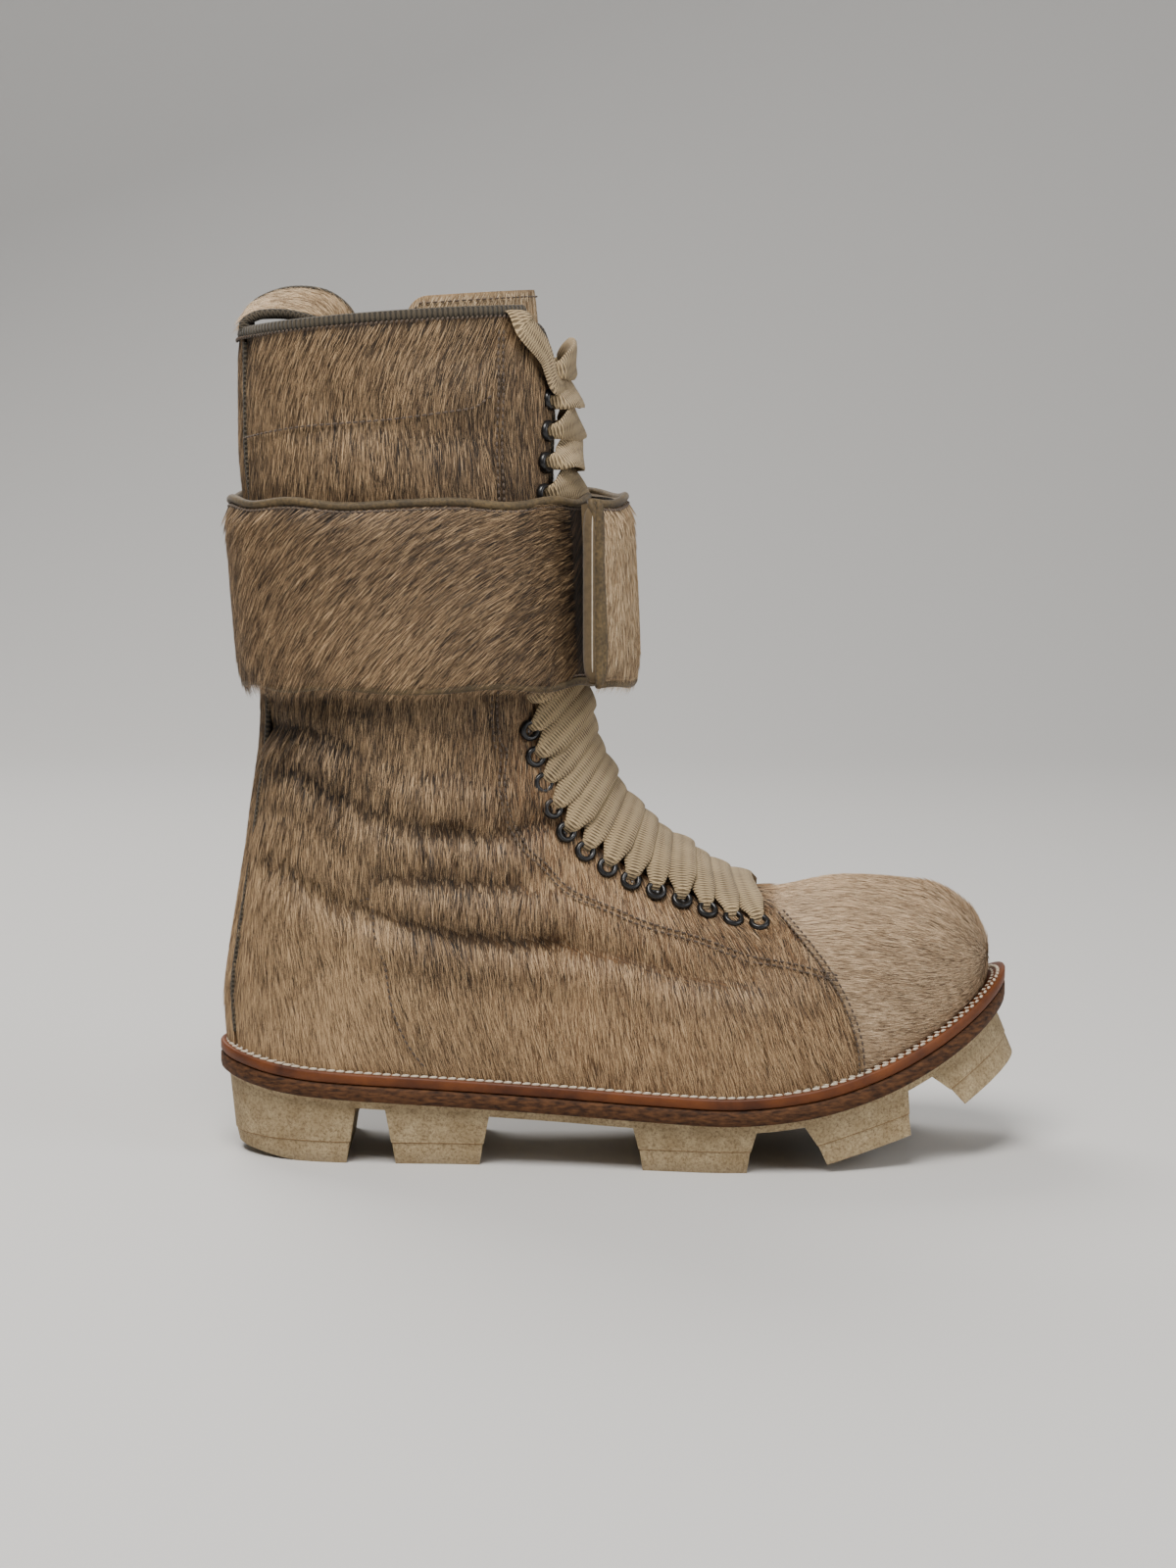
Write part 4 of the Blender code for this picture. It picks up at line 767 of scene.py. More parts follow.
# Sections from the heel's back to above the collar.
# front and back, and ANKLE_FRONT: shares of SHAFT_DEPTH from the shaft's axis;
# level: 1 at the instep and 2 at the collar; half: share of SHAFT_WIDTH
LEG_SECTIONS = np.array([
    # front, level, back,  level, half,  at,   dome
    (0.535, 1.150, -0.592, 0.335, 0.433, 0.50, 2.3),
    (0.525, 1.270, -0.508, 0.692, 0.446, 0.50, 2.3),
    (0.520, 1.379, -0.464, 0.941, 0.458, 0.50, 2.3),
    (0.508, 1.546, -0.490, 1.312, 0.476, 0.50, 2.3),
    (0.490, 1.773, -0.525, 1.674, 0.489, 0.50, 2.3),
    (0.466, 2.000, -0.522, 1.940, 0.500, 0.50, 2.3),
    (0.452, 2.180, -0.514, 2.130, 0.505, 0.50, 2.3),
])
HEEL_SECTION = len(FOOT_SECTIONS) - 1
COLLAR_SECTION = HEEL_SECTION + 6
LAST_SECTION = HEEL_SECTION + len(LEG_SECTIONS)
HEEL_ROUND = 2.2
ANKLE_FRONT = 0.5422


def level_height(level):
    """Levels 0 to 1 run from the ground to the instep, and 1 to 2 on to the collar."""
    shaft = COLLAR_HEIGHT - INSTEP_HEIGHT
    return np.where(level < 1, level * INSTEP_HEIGHT, INSTEP_HEIGHT + (level - 1) * shaft)


class Last:
    """The outer form of the upper: a point for each section number s and each turn a.

    a is 0 along the top and front, and -1 (outer side) and 1 (inner side) at the welt or the back seam.
    It is proportional to the distance round the section.
    """

    ROWS_PER_SECTION = 14
    TURNS = 96
    QUARTER_POINTS = 60

    def __init__(self):
        self.s = np.linspace(0, LAST_SECTION, LAST_SECTION * self.ROWS_PER_SECTION + 1)
        self.a = np.linspace(-1, 1, 2 * self.TURNS + 1)
        self.read_tables()
        rows = [self.section(i) for i in range(len(self.s))]
        self.points = np.array([row[0] for row in rows])
        self.points[0] = self.points[0, self.TURNS]
        self.girth = np.array([row[1] for row in rows])
        self.normals = self.find_normals()

    def read_tables(self):
        foot = np.arange(len(FOOT_SECTIONS))
        leg = np.arange(HEEL_SECTION + 1, LAST_SECTION + 1)
        numbers = np.concatenate([foot, leg])
        length, ball = SOLE_LENGTH, BALL_WIDTH
        front = SHAFT_AXIS + SHAFT_DEPTH * LEG_SECTIONS[:, 0]
        back = SHAFT_AXIS + SHAFT_DEPTH * LEG_SECTIONS[:, 2]

        def column(below, above):
            return smooth_curve(numbers, np.concatenate([below, above]), self.s)

        none = np.zeros(len(leg))
        self.crest = column(ball * FOOT_SECTIONS[:, 3], none)
        self.swell = column(FOOT_SECTIONS[:, 4], none)
        self.spread = column(ball * FOOT_SECTIONS[:, 5], SHAFT_WIDTH * LEG_SECTIONS[:, 4])
        self.wide_at = column(FOOT_SECTIONS[:, 6], LEG_SECTIONS[:, 5])
        self.dome = column(FOOT_SECTIONS[:, 7], LEG_SECTIONS[:, 6])
        outer_x, outer_y = outline_side(OUTER_INDEX, feather_inset)
        inner_x, inner_y = outline_side(INNER_INDEX, feather_inset)
        heel, toe = outer_x[0], outer_x[-1]
        ankle = SHAFT_AXIS + SHAFT_DEPTH * ANKLE_FRONT
        foot_top = ankle + (length - ankle) * FOOT_SECTIONS[:, 0]
        foot_level = level_height(FOOT_SECTIONS[:, 1])
        foot_top[0], foot_level[0] = toe, float(layer(UPPER_FOOT)(toe))
        self.top_x = column(foot_top, front)
        self.top_z = column(foot_level, level_height(LEG_SECTIONS[:, 1]))
        along = smooth_curve(foot, length * FOOT_SECTIONS[:, 2], self.s)
        first, last = length * FOOT_SECTIONS[-1, 2], length * FOOT_SECTIONS[0, 2]
        along = heel + (along - first) * (toe - heel) / (last - first)
        along = np.clip(along, heel, toe)
        below = self.s <= HEEL_SECTION
        back_numbers = np.arange(HEEL_SECTION, LAST_SECTION + 1)
        foot_height = float(layer(UPPER_FOOT)(heel))
        back_x = smooth_curve(back_numbers, np.concatenate([[heel], back]), self.s)
        heights = np.concatenate([[foot_height], level_height(LEG_SECTIONS[:, 3])])
        back_z = smooth_curve(back_numbers, heights, self.s)
        self.bottom_x = np.where(below, along, back_x)
        self.bottom_z = np.where(below, layer(UPPER_FOOT)(along), back_z)
        near = np.where(below, np.interp(along, outer_x, outer_y), 0.0)
        far = np.where(below, np.interp(along, inner_x, inner_y), 0.0)
        self.bottom_y = (near + far) / 2
        self.half_foot = np.maximum((far - near) / 2, 0.0)
        self.crest[0] = self.bottom_y[0]

    def section(self, i):
        """Both halves of one section, with points evenly spaced, and the length of one half."""
        turn = np.linspace(0, math.pi / 2, self.QUARTER_POINTS)
        foot, wide = self.half_foot[i], self.swell[i] * self.half_foot[i] + self.spread[i]
        wide = max(wide, foot * 1.001)
        low_c = self.wide_at[i] * (1 - np.cos(turn))
        low_w = np.sqrt(foot**2 + (wide**2 - foot**2) * (1 - np.cos(turn) ** HEEL_ROUND))
        high_c = self.wide_at[i] + (1 - self.wide_at[i]) * np.sin(turn) ** (2 / self.dome[i])
        high_w = wide * np.cos(turn) ** (2 / self.dome[i])
        c = np.concatenate([low_c, high_c[1:]])
        w = np.concatenate([low_w, high_w[1:]])
        w[-1] = 0.0
        x = self.bottom_x[i] + c * (self.top_x[i] - self.bottom_x[i])
        z = self.bottom_z[i] + c * (self.top_z[i] - self.bottom_z[i])
        middle = self.bottom_y[i] + c * (self.crest[i] - self.bottom_y[i])
        halves = []
        for side in (-1, 1):
            half = np.stack([x, middle + side * w, z], 1)
            run = run_along(half)
            at = np.linspace(0, run[-1], self.TURNS + 1)
            halves.append((np.stack([np.interp(at, run, half[:, k]) for k in range(3)], 1), run[-1]))
        near, far = halves
        loop = np.concatenate([near[0], far[0][::-1][1:]])
        loop[:, 0] += HEEL_BACK
        return loop, (near[1] + far[1]) / 2

    def find_normals(self):
        along = np.gradient(self.points, axis=0)
        round_it = np.gradient(self.points, axis=1)
        closed = self.s >= HEEL_SECTION
        across = self.points[:, 1] - self.points[:, -2]
        for end in (0, -1):
            round_it[closed, end] = across[closed]
            along[closed, end] = (along[closed, 0] + along[closed, -1]) / 2
        normal = unit(np.cross(round_it, along))
        normal[0] = (1.0, 0.0, 0.0)
        return normal

    def at(self, s, a, offset=0.0):
        """Points of the form at sections s and turns a, moved out by offset."""
        s, a = np.broadcast_arrays(np.asarray(s, float), np.asarray(a, float))
        row = np.clip(s, 0, LAST_SECTION) * self.ROWS_PER_SECTION
        col = (np.clip(a, -1, 1) + 1) * self.TURNS
        i = np.minimum(row.astype(int), len(self.s) - 2)
        j = np.minimum(col.astype(int), len(self.a) - 2)
        u, v = (row - i)[..., None], (col - j)[..., None]

        def mix(grid):
            low = grid[i, j] * (1 - v) + grid[i, j + 1] * v
            high = grid[i + 1, j] * (1 - v) + grid[i + 1, j + 1] * v
            return low * (1 - u) + high * u

        return mix(self.points) + unit(mix(self.normals)) * np.asarray(offset, float)[..., None]

    def out(self, s, a):
        """The directions that point straight out of the form."""
        return self.at(s, a, 1.0) - self.at(s, a, 0.0)

    def half_girth(self, s):
        return np.maximum(np.interp(s, self.s, self.girth), 1e-6)

    def section_at_height(self, z, a):
        """The section number whose point at turn a is at height z, on the leg."""
        rows = self.s >= HEEL_SECTION - 2
        column = int(round((a + 1) * self.TURNS))
        return float(np.interp(z, self.points[rows, column, 2], self.s[rows]))


LAST = Last()


# The cap seam's section number on top of the foot and at the welt
CAP_SEAM_TOP = 5.03
CAP_SEAM_FOOT = 3.92
BLEND_END = 7.0


def cap_seam(a):
    return CAP_SEAM_TOP - (CAP_SEAM_TOP - CAP_SEAM_FOOT) * np.sin(math.pi / 2 * np.abs(a)) ** 2


def follow_seam(s, a):
    """Bends the section lines so that the line at CAP_SEAM_TOP runs along the cap seam."""
    seam = cap_seam(a)
    before = s * seam / CAP_SEAM_TOP
    share = (s - CAP_SEAM_TOP) / (BLEND_END - CAP_SEAM_TOP)
    after = seam + share * (BLEND_END - seam)
    return np.where(s <= CAP_SEAM_TOP, before, np.where(s < BLEND_END, after, s))


def follow_collar(s, a):
    """Lifts the collar's line between the back seam and the throat, as its edge is cut."""
    below = LAST.section_at_height(COLLAR_HEIGHT - COLLAR_CROWN, 0.0)
    step = LAST.section_at_height(COLLAR_HEIGHT, 0.0) - below
    share = np.clip((s - HEEL_SECTION - 4) / (COLLAR_SECTION - HEEL_SECTION - 4), 0, 1)
    return s + step * share * np.sin(math.pi * np.abs(a)) ** 0.7


# Half width of the lacing gap, measured round the form from its middle line: section number, share of the way
# from THROAT_TOP_HALF_GAP to THROAT_HALF_GAP
THROAT_END = 5.16
THROAT_ROUND = 0.32
WIDEST_TURN = 0.3
THROAT_WIDTHS = np.array([
    # section, share
    (5.00, 0.73),
    (6.00, 0.74),
    (7.00, 0.89),
    (7.70, 1.00),
    (9.40, 1.00),
    (11.00, 0.82),
    (14.00, 0.42),
    (14.70, 0.26),
    (15.20, 0.12),
    (15.50, 0.10),
    (15.80, 0.32),
    (16.00, 0.75),
    (18.00, 0.75),
])


def lacing_half_gap(s):
    share = smooth_curve(THROAT_WIDTHS[:, 0], THROAT_WIDTHS[:, 1], s)
    return THROAT_TOP_HALF_GAP + share * (THROAT_HALF_GAP - THROAT_TOP_HALF_GAP)


def throat_turn(s):
    """The turn a at the throat's edge, with rounded corners at its lower end."""
    open_share = np.clip((s - THROAT_END) / THROAT_ROUND, 0, 1)
    corner = THROAT_CORNER * (1 - np.sqrt(1 - (1 - open_share) ** 2))
    return np.minimum((lacing_half_gap(s) - corner) / LAST.half_girth(s), WIDEST_TURN)


# Creases: side of the boot, depth, half width, then the line's places seen from that side (x and z)
CREASES = [
    (-1, 0.0030, 0.0055, [
        (-0.0118, 0.1150), (0.0100, 0.1040), (0.0323, 0.0970), (0.0600, 0.0905), (0.0912, 0.0885)]),
    (-1, 0.0022, 0.0060, [(0.0912, 0.0885), (0.1180, 0.0830), (0.1427, 0.0745), (0.1650, 0.0720)]),
    (-1, 0.0024, 0.0050, [(-0.0045, 0.1525), (0.0130, 0.1420), (0.0323, 0.1345), (0.0560, 0.1330)]),
    (-1, 0.0020, 0.0055, [(0.0470, 0.1310), (0.0700, 0.1290), (0.0890, 0.1330)]),
    (-1, 0.0018, 0.0045, [(-0.0185, 0.1690), (-0.0040, 0.1690), (0.0120, 0.1640)]),
    (-1, 0.0016, 0.0050, [(0.0250, 0.1130), (0.0500, 0.1110), (0.0760, 0.1090)]),
    (-1, 0.0014, 0.0090, [(0.0180, 0.2860), (0.0420, 0.2790), (0.0600, 0.2800)]),
    (1, 0.0028, 0.0055, [(-0.0110, 0.1100), (0.0200, 0.1020), (0.0600, 0.0950), (0.0980, 0.0900)]),
    (1, 0.0022, 0.0055, [(-0.0030, 0.1480), (0.0260, 0.1380), (0.0600, 0.1340), (0.0850, 0.1360)]),
    (1, 0.0016, 0.0050, [(0.0900, 0.0840), (0.1200, 0.0780), (0.1500, 0.0720)]),
    (1, 0.0014, 0.0080, [(0.0100, 0.2880), (0.0380, 0.2820), (0.0580, 0.2850)]),
]
CREASE_SIDE_FADE, SLACK_DEPTH = 0.012, 0.0007


def crease_height(points):
    """How far the hide stands off the form: soft troughs along the creases, with a roll beside each."""
    height = np.zeros(points.shape[:-1])
    for side, depth, half, line in CREASES:
        line = np.array(line)
        flat = points[..., [0, 2]]
        nearest = np.full(height.shape, 1e9)
        above = np.zeros(height.shape)
        for start, end in zip(line[:-1], line[1:]):
            run = end - start
            t = np.clip(((flat - start) @ run) / (run @ run), 0, 1)
            gap = flat - start - t[..., None] * run
            away = np.hypot(gap[..., 0], gap[..., 1])
            closer = away < nearest
            nearest = np.where(closer, away, nearest)
            above = np.where(closer, np.sign(gap[..., 1]), above)
        on_side = np.clip(side * points[..., 1] / CREASE_SIDE_FADE, 0, 1)
        trough = np.exp(-((nearest / half) ** 2))
        roll = np.exp(-(((nearest - 2.1 * half) / (1.2 * half)) ** 2)) * np.where(above > 0, 0.55, 0.25)
        height += on_side * depth * (roll - trough)
    x, y, z = points[..., 0], points[..., 1], points[..., 2]
    slack = np.sin(71 * z + 40 * x + 9 * y) * np.sin(53 * x - 31 * z + 1.3)
    slack += 0.6 * np.sin(130 * z - 60 * x + 25 * y)
    height += SLACK_DEPTH * slack * np.clip((z - 0.055) / 0.05, 0, 1)
    edge = np.clip((z - 0.062) / 0.02, 0.0, 1.0)
    return height * edge


def hide_block(s, a, outer, inner, lie, cover=1.0, warm=0.0, creased=True):
    """One block of haired hide on the form: its two faces, how its hair lies and how much shows."""
    shape = np.broadcast_shapes(np.shape(s), np.shape(a))
    s, a, outer, inner, cover, warm = (
        np.broadcast_to(np.asarray(v, float), shape) for v in (s, a, outer, inner, cover, warm))
    out_grid, in_grid, normal = LAST.at(s, a, outer), LAST.at(s, a, inner), LAST.out(s, a)
    if creased:
        lift = crease_height(out_grid)[..., None]
        out_grid, in_grid = out_grid + normal * lift, in_grid + normal * lift * 0.6
    lay = lie(out_grid)
    lay = unit(lay - normal * (lay * normal).sum(-1, keepdims=True))
    flow = np.stack([a * LAST.half_girth(s), out_grid[..., 2] - 0.6 * out_grid[..., 0], 0 * a], -1)
    return {"outer": out_grid, "inner": in_grid, "lay": lay, "flow": flow, "cover": cover, "warm": warm}


def grid_faces(rows, columns, start=0):
    corner = start + (np.arange(rows - 1)[:, None] * columns + np.arange(columns - 1)[None, :]).ravel()
    return np.stack([corner, corner + 1, corner + columns + 1, corner + columns], 1)


def hide_shell(name, blocks, finish, node):
    """A closed wall of hide from its blocks, rimmed along every open edge, its foot flat on the welt."""
    spread = {
        key: np.concatenate([b[key].reshape(b["cover"].size, -1) for b in blocks])
        for key in ("outer", "inner", "flow", "warm")}
    faces, start = [], 0
    for b in blocks:
        faces.append(grid_faces(*b["cover"].shape, start))
        start += b["cover"].size
    both = np.round(np.concatenate([spread["outer"], spread["inner"]], 1), 6)
    _, first, index = np.unique(both, axis=0, return_index=True, return_inverse=True)
    faces = index.reshape(-1)[np.concatenate(faces)]
    spread = {key: values[first] for key, values in spread.items()}
    sides = np.concatenate([faces[:, [k, (k + 1) % 4]] for k in range(4)])
    sides = sides[sides[:, 0] != sides[:, 1]]
    _, spot, uses = np.unique(np.sort(sides, 1), axis=0, return_index=True, return_counts=True)
    rims = sides[spot[uses == 1]]
    top = layer(UPPER_FOOT)
    for k in np.unique(rims):
        place = spread["outer"][k]
        if abs(place[2] - float(top(place[0] - HEEL_BACK))) < 0.003:
            for side in (spread["outer"], spread["inner"]):
                side[k][2] = float(top(side[k][0] - HEEL_BACK))
    count = len(first)
    rings = [list(dict.fromkeys(face)) for face in faces.tolist()]
    rings = [ring for ring in rings if len(ring) > 2]
    backs = [[k + count for k in reversed(ring)] for ring in rings]
    walls = [[b, a, a + count, b + count] for a, b in rims.tolist()]
    extra = {key: np.concatenate([spread[key]] * 2) for key in ("flow", "warm")}
    points = np.concatenate([spread["outer"], spread["inner"]])
    return new_piece(name, points, rings + backs + walls, finish, node, 60, extra)


def hide_colour_group():
    """Shared: the colour of haired hide, in streaks along the hair, clumps, broad patches and a warm share.

    It is palest over the counter, where the paleness is painted light, and darker up the leg than on the
    quarters.
    """
    tree, given = new_tree("hide_colour", "ShaderNodeTree", {
        "Flow": "Vector", "Place": "Vector", "Tone": "Float", "Warmth": "Float",
        "Dark": "Color", "Body": "Color", "Pale": "Color", "Warm": "Color",
    }, {"Colour": "Color", "Height": "Float"})
    streak = noise(tree, stretch(tree, given["Flow"], (1700.0, 60.0, 1.0)), 1.0, 2.0)
    tuft = noise(tree, stretch(tree, given["Flow"], (330.0, 26.0, 1.0)), 1.0, 2.0)
    patch = noise(tree, given["Place"], 17.0, 1.0)
    place = put_node(tree, "ShaderNodeSeparateXYZ", {"Vector": given["Place"]}).outputs
    low = span(tree, place["Z"], 0.145, 0.055, -0.06, 0.13)
    # Painted light: paler towards the heel's back, low down over the counter.
    behind = span(tree, place["X"], 0.045, 0.012, 0.0, 0.20)
    total = calc(tree, "MULTIPLY_ADD", behind, span(tree, place["Z"], 0.135, 0.095), low)
    for part, weight in ((streak, 0.75), (tuft, 0.42), (patch, 0.50), (given["Tone"], 0.95)):
        total = calc(tree, "MULTIPLY_ADD", part, weight, total)
    value = span(tree, total, 0.95, 1.71)
    body = blend(tree, given["Warmth"], given["Body"], given["Warm"])
    under = blend(tree, span(tree, value, 0.0, 0.5), given["Dark"], body)
    over = blend(tree, span(tree, value, 0.5, 1.0), under, given["Pale"])
    put_node(tree, "NodeGroupOutput", {"Colour": over, "Height": calc(tree, "ADD", streak, tuft)})
    return tree


HIDE_COLOUR = hide_colour_group()
HIDE_TONES = {
    "Dark": (0.016, 0.009, 0.004, 1.0), "Body": (0.160, 0.093, 0.042, 1.0),
    "Pale": (0.640, 0.430, 0.230, 1.0), "Warm": (0.205, 0.095, 0.030, 1.0),
}
# Painted light: the same hide in paler tones, for the tongue, the pull loop's hair and the strap's over end,
# as if strongly lit.
PAINTED_LIGHT_TONES = {
    "Dark": (0.180, 0.112, 0.056, 1.0), "Body": (0.630, 0.440, 0.245, 1.0),
    "Pale": (0.920, 0.710, 0.450, 1.0), "Warm": (0.440, 0.260, 0.115, 1.0),
}


def read_attribute(tree, name, out="Fac"):
    return put_node(tree, "ShaderNodeAttribute", attribute_name=name).outputs[out]


def hide_finish(name, tones, strand):
    """The skin under the hair, held at a low tone as painted shade, or with strand on, the hairs, each of one
    tone and darker at its root with painted shade.
    """
    finish, tree = new_finish(name, 0.62 if strand else 0.85, Sheen_Weight=0.05)
    made = put_node(tree, "ShaderNodeGroup", node_tree=HIDE_COLOUR)
    # The skin's low tone of 0.25 is painted shade under the hair.
    inputs = {
        "Flow": read_attribute(tree, "flow", "Vector"), "Place": object_place(tree),
        "Warmth": read_attribute(tree, "warm"), "Tone": read_attribute(tree, "tone") if strand else 0.25}
    join(tree, made, {**inputs, **tones})
    if not strand:
        return dress(finish, made.outputs["Colour"], made.outputs["Height"], 0.8, 0.0010)
    # Painted shade: each hair is darker towards its root, where the coat shades it.
    lit = span(tree, read_attribute(tree, "along"), 0.0, 0.6, 0.45, 1.0)
    scaled = {0: made.outputs["Colour"], "Scale": lit}
    shade = put_node(tree, "ShaderNodeVectorMath", scaled, operation="SCALE")
    return dress(finish, shade.outputs["Vector"])


def hair_strand():
    """One hair, 1 long and 1 wide: a slim blade that rises from the hide to its tip."""
    mesh = bpy.data.meshes.new("hair_strand")
    mesh.from_pydata([(-0.5, 0, -0.01), (0.5, 0, -0.01), (0, 1, 0.055)], [], [(0, 1, 2)])
    mesh.attributes.new("along", "FLOAT", "POINT").data.foreach_set("value", (0.0, 0.0, 1.0))
    strand = bpy.data.objects.new("hair_strand", mesh)
    bpy.context.scene.collection.objects.link(strand)
    return strand


def hair_tree():
    """Geometry Nodes: hairs scattered over a hide. Each lies as the hide's lay says, and a share strays."""
    tree, given = new_tree("hair_coat", "GeometryNodeTree", {
        "Hide": "Geometry", "Strand": "Object", "Density": "Float", "Length": "Float", "Width": "Float",
        "Clumping": "Float", "Stray": "Float", "Lift": "Float", "Seed": "Int", "Finish": "Material",
    }, {"Hair": "Geometry"})

    def vectors(operation, first, second):
        inputs = {0: first, "Scale" if operation == "SCALE" else 1: second}
        return put_node(tree, "ShaderNodeVectorMath", inputs, operation=operation).outputs["Vector"]

    def chance(low, high, seed):
        inputs = {2: low, 3: high, "Seed": seed}
        return put_node(tree, "FunctionNodeRandomValue", inputs, data_type="FLOAT").outputs[1]

    density = calc(tree, "MULTIPLY", given["Density"], painted(tree, "cover", "FLOAT"))
    spots = put_node(tree, "GeometryNodeDistributePointsOnFaces", {
        "Mesh": given["Hide"], "Density": density, "Seed": given["Seed"]})
    place = put_node(tree, "GeometryNodeInputPosition")
    swirl = put_node(tree, "ShaderNodeTexNoise", {
        "Vector": place.outputs["Position"], "Scale": 130.0, "Detail": 1.0})
    clumped = vectors("SCALE", vectors("ADD", swirl.outputs["Color"], (-0.5, -0.5, -0.5)), given["Clumping"])
    loose = put_node(tree, "FunctionNodeRandomValue", {
        0: (-1.0, -1.0, -1.0), 1: (1.0, 1.0, 1.0), "Seed": given["Seed"]}, data_type="FLOAT_VECTOR")
    loose = vectors("SCALE", loose.outputs[0], given["Stray"])
    aim = vectors("ADD", painted(tree, "lay"), vectors("ADD", clumped, loose))
    combed = aligned(tree, aim, "Y", aligned(tree, spots.outputs["Normal"], "Z"))
    pitch = chance(calc(tree, "MULTIPLY", given["Lift"], -0.4), given["Lift"], 5)
    posed = turned(tree, combed, {"X": pitch, "Y": chance(-0.6, 0.6, 6)})
    length = calc(tree, "MULTIPLY", given["Length"], chance(0.6, 1.2, 7))
    size = put_node(tree, "ShaderNodeCombineXYZ", {"X": given["Width"], "Y": length, "Z": length})
    one = put_node(tree, "GeometryNodeObjectInfo", {"Object": given["Strand"]})
    laid = put_node(tree, "GeometryNodeInstanceOnPoints", {
        "Points": spots.outputs["Points"], "Instance": one.outputs["Geometry"],
        "Rotation": posed, "Scale": size.outputs["Vector"]})
    toned = put_node(tree, "GeometryNodeStoreNamedAttribute", {
        "Geometry": laid.outputs["Instances"], "Name": "tone", "Value": chance(0.0, 1.0, 8)},
        data_type="FLOAT", domain="INSTANCE")
    return settle(tree, toned.outputs["Geometry"], given["Finish"], "Hair")


STRAND = hair_strand()
HAIR_TREE = hair_tree()
HAIR_LIFT = 0.05


def comb_hair(
        name, blocks, finish, per_mm2, length, width=0.00030,
        clumping=0.42, stray=0.14, seed=1, slot="hair_hide"):
    """The hair of a hide, over the outer faces of its blocks."""
    faces, start = [], 0
    for b in blocks:
        rows, columns = b["cover"].shape
        o, i, k = b["outer"], rows // 2, columns // 2
        out = np.cross(o[i, k + 1] - o[i, k], o[i + 1, k] - o[i, k]) @ (o[i, k] - b["inner"][i, k])
        faces.append(grid_faces(rows, columns, start)[:, :: 1 if out > 0 else -1])
        start += rows * columns
    spread = {
        key: np.concatenate([b[key].reshape(b["cover"].size, -1) for b in blocks])
        for key in ("outer", "lay", "flow", "cover", "warm")}
    mesh = bpy.data.meshes.new("hide_skin")
    mesh.from_pydata(spread.pop("outer").tolist(), [], np.concatenate(faces).tolist())
    write_attributes(mesh, spread)
    work = bmesh.new()
    work.from_mesh(mesh)
    bmesh.ops.dissolve_degenerate(work, dist=1e-7, edges=work.edges)
    work.to_mesh(mesh)
    work.free()
    grow(name, bpy.data.objects.new("hide_skin", mesh), HAIR_TREE, {
        "Strand": STRAND, "Density": per_mm2 * 1e6, "Length": length, "Width": width, "Clumping": clumping,
        "Stray": stray, "Lift": HAIR_LIFT, "Seed": seed, "Finish": finish})


HIDE_UNDER = hide_finish("hair_hide", HIDE_TONES, False)
HIDE_HAIR = hide_finish("hair_hide_strands", HIDE_TONES, True)
# Lit copies of the hide, in the painted light tones: its skin and its hairs.
PAINTED_LIGHT_UNDER = hide_finish("painted_light_hide", PAINTED_LIGHT_TONES, False)
PAINTED_LIGHT_HAIR = hide_finish("painted_light_hide_strands", PAINTED_LIGHT_TONES, True)
SIDE_COLUMNS, BRIDGE_COLUMNS = 44, 14
SEAM_STEP = 0.012
UPPER_ROWS = np.concatenate([
    np.linspace(0, CAP_SEAM_TOP - SEAM_STEP, 42), [CAP_SEAM_TOP + SEAM_STEP],
    np.linspace(THROAT_END, THROAT_END + THROAT_ROUND, 9),
    np.linspace(5.6, 10, 62), np.linspace(10.1, COLLAR_SECTION, 66),
])
UPPER_COAT = {"per_mm2": 3.3, "length": 0.0095}
STRAP_COVERS = 0.008


def hide_lie(points):
    """Hair runs down the leg and the quarters, turning forward towards the sole and over the instep."""
    x, y, z = points[..., 0], points[..., 1], points[..., 2]
    low = np.clip((0.13 - z) / 0.08, 0, 1)
    forward = 0.10 * np.sin(34 * x + 21 * z) + 0.30 * low * np.clip((x + 0.04) / 0.1, 0, 1)
    collar = -0.55 * np.clip((z - 0.285) / 0.03, 0, 1)
    return np.stack([forward + collar, 0 * y, -np.ones_like(z)], -1)


def under_strap(z):
    """Whether the strap hides this height, apart from a little at its edges."""
    return (z > STRAP_BOTTOM + STRAP_COVERS) & (z < STRAP_BOTTOM + STRAP_HEIGHT - STRAP_COVERS)


def upper_cover(points, a, s):
    """Where hair shows: not under the strap, the cap or the backstay."""
    band = under_strap(points[..., 2])
    edge = 1 - 0.4 * BACKSTAY_WIDTH / LAST.half_girth(s)
    behind = (np.abs(a) > edge) & (s >= HEEL_SECTION)
    return np.where(band | behind | (s < CAP_SEAM_TOP), 0.0, 1.0)


def upper_warmth(points, a, s):
    """The hide is more orange beside the laces and low on the quarters."""
    x, z = points[..., 0], points[..., 2]
    from_gap = np.abs(a) * LAST.half_girth(s) - lacing_half_gap(s)
    beside = np.clip(1 - from_gap / 0.030, 0, 1) * np.clip((0.2 - z) / 0.04, 0.25, 1)
    ahead = np.clip((x - 0.03) / 0.07, 0, 1) * np.clip((0.2 - z) / 0.03, 0, 1)
    return np.clip(0.9 * beside + 0.6 * ahead, 0, 1)


def hide_turns(s, bridge):
    """Rows and turns of the hide's two sides, up to the lacing gap, and of the bridge between them."""
    share = np.linspace(0, 1, SIDE_COLUMNS + 1)[None, :]
    turns = [(s, side * (1 - share * (1 - throat_turn(s)))) for side in (-1, 1)]
    return [*turns, (bridge, np.linspace(-1, 1, BRIDGE_COLUMNS + 1)[None, :] * throat_turn(bridge))]


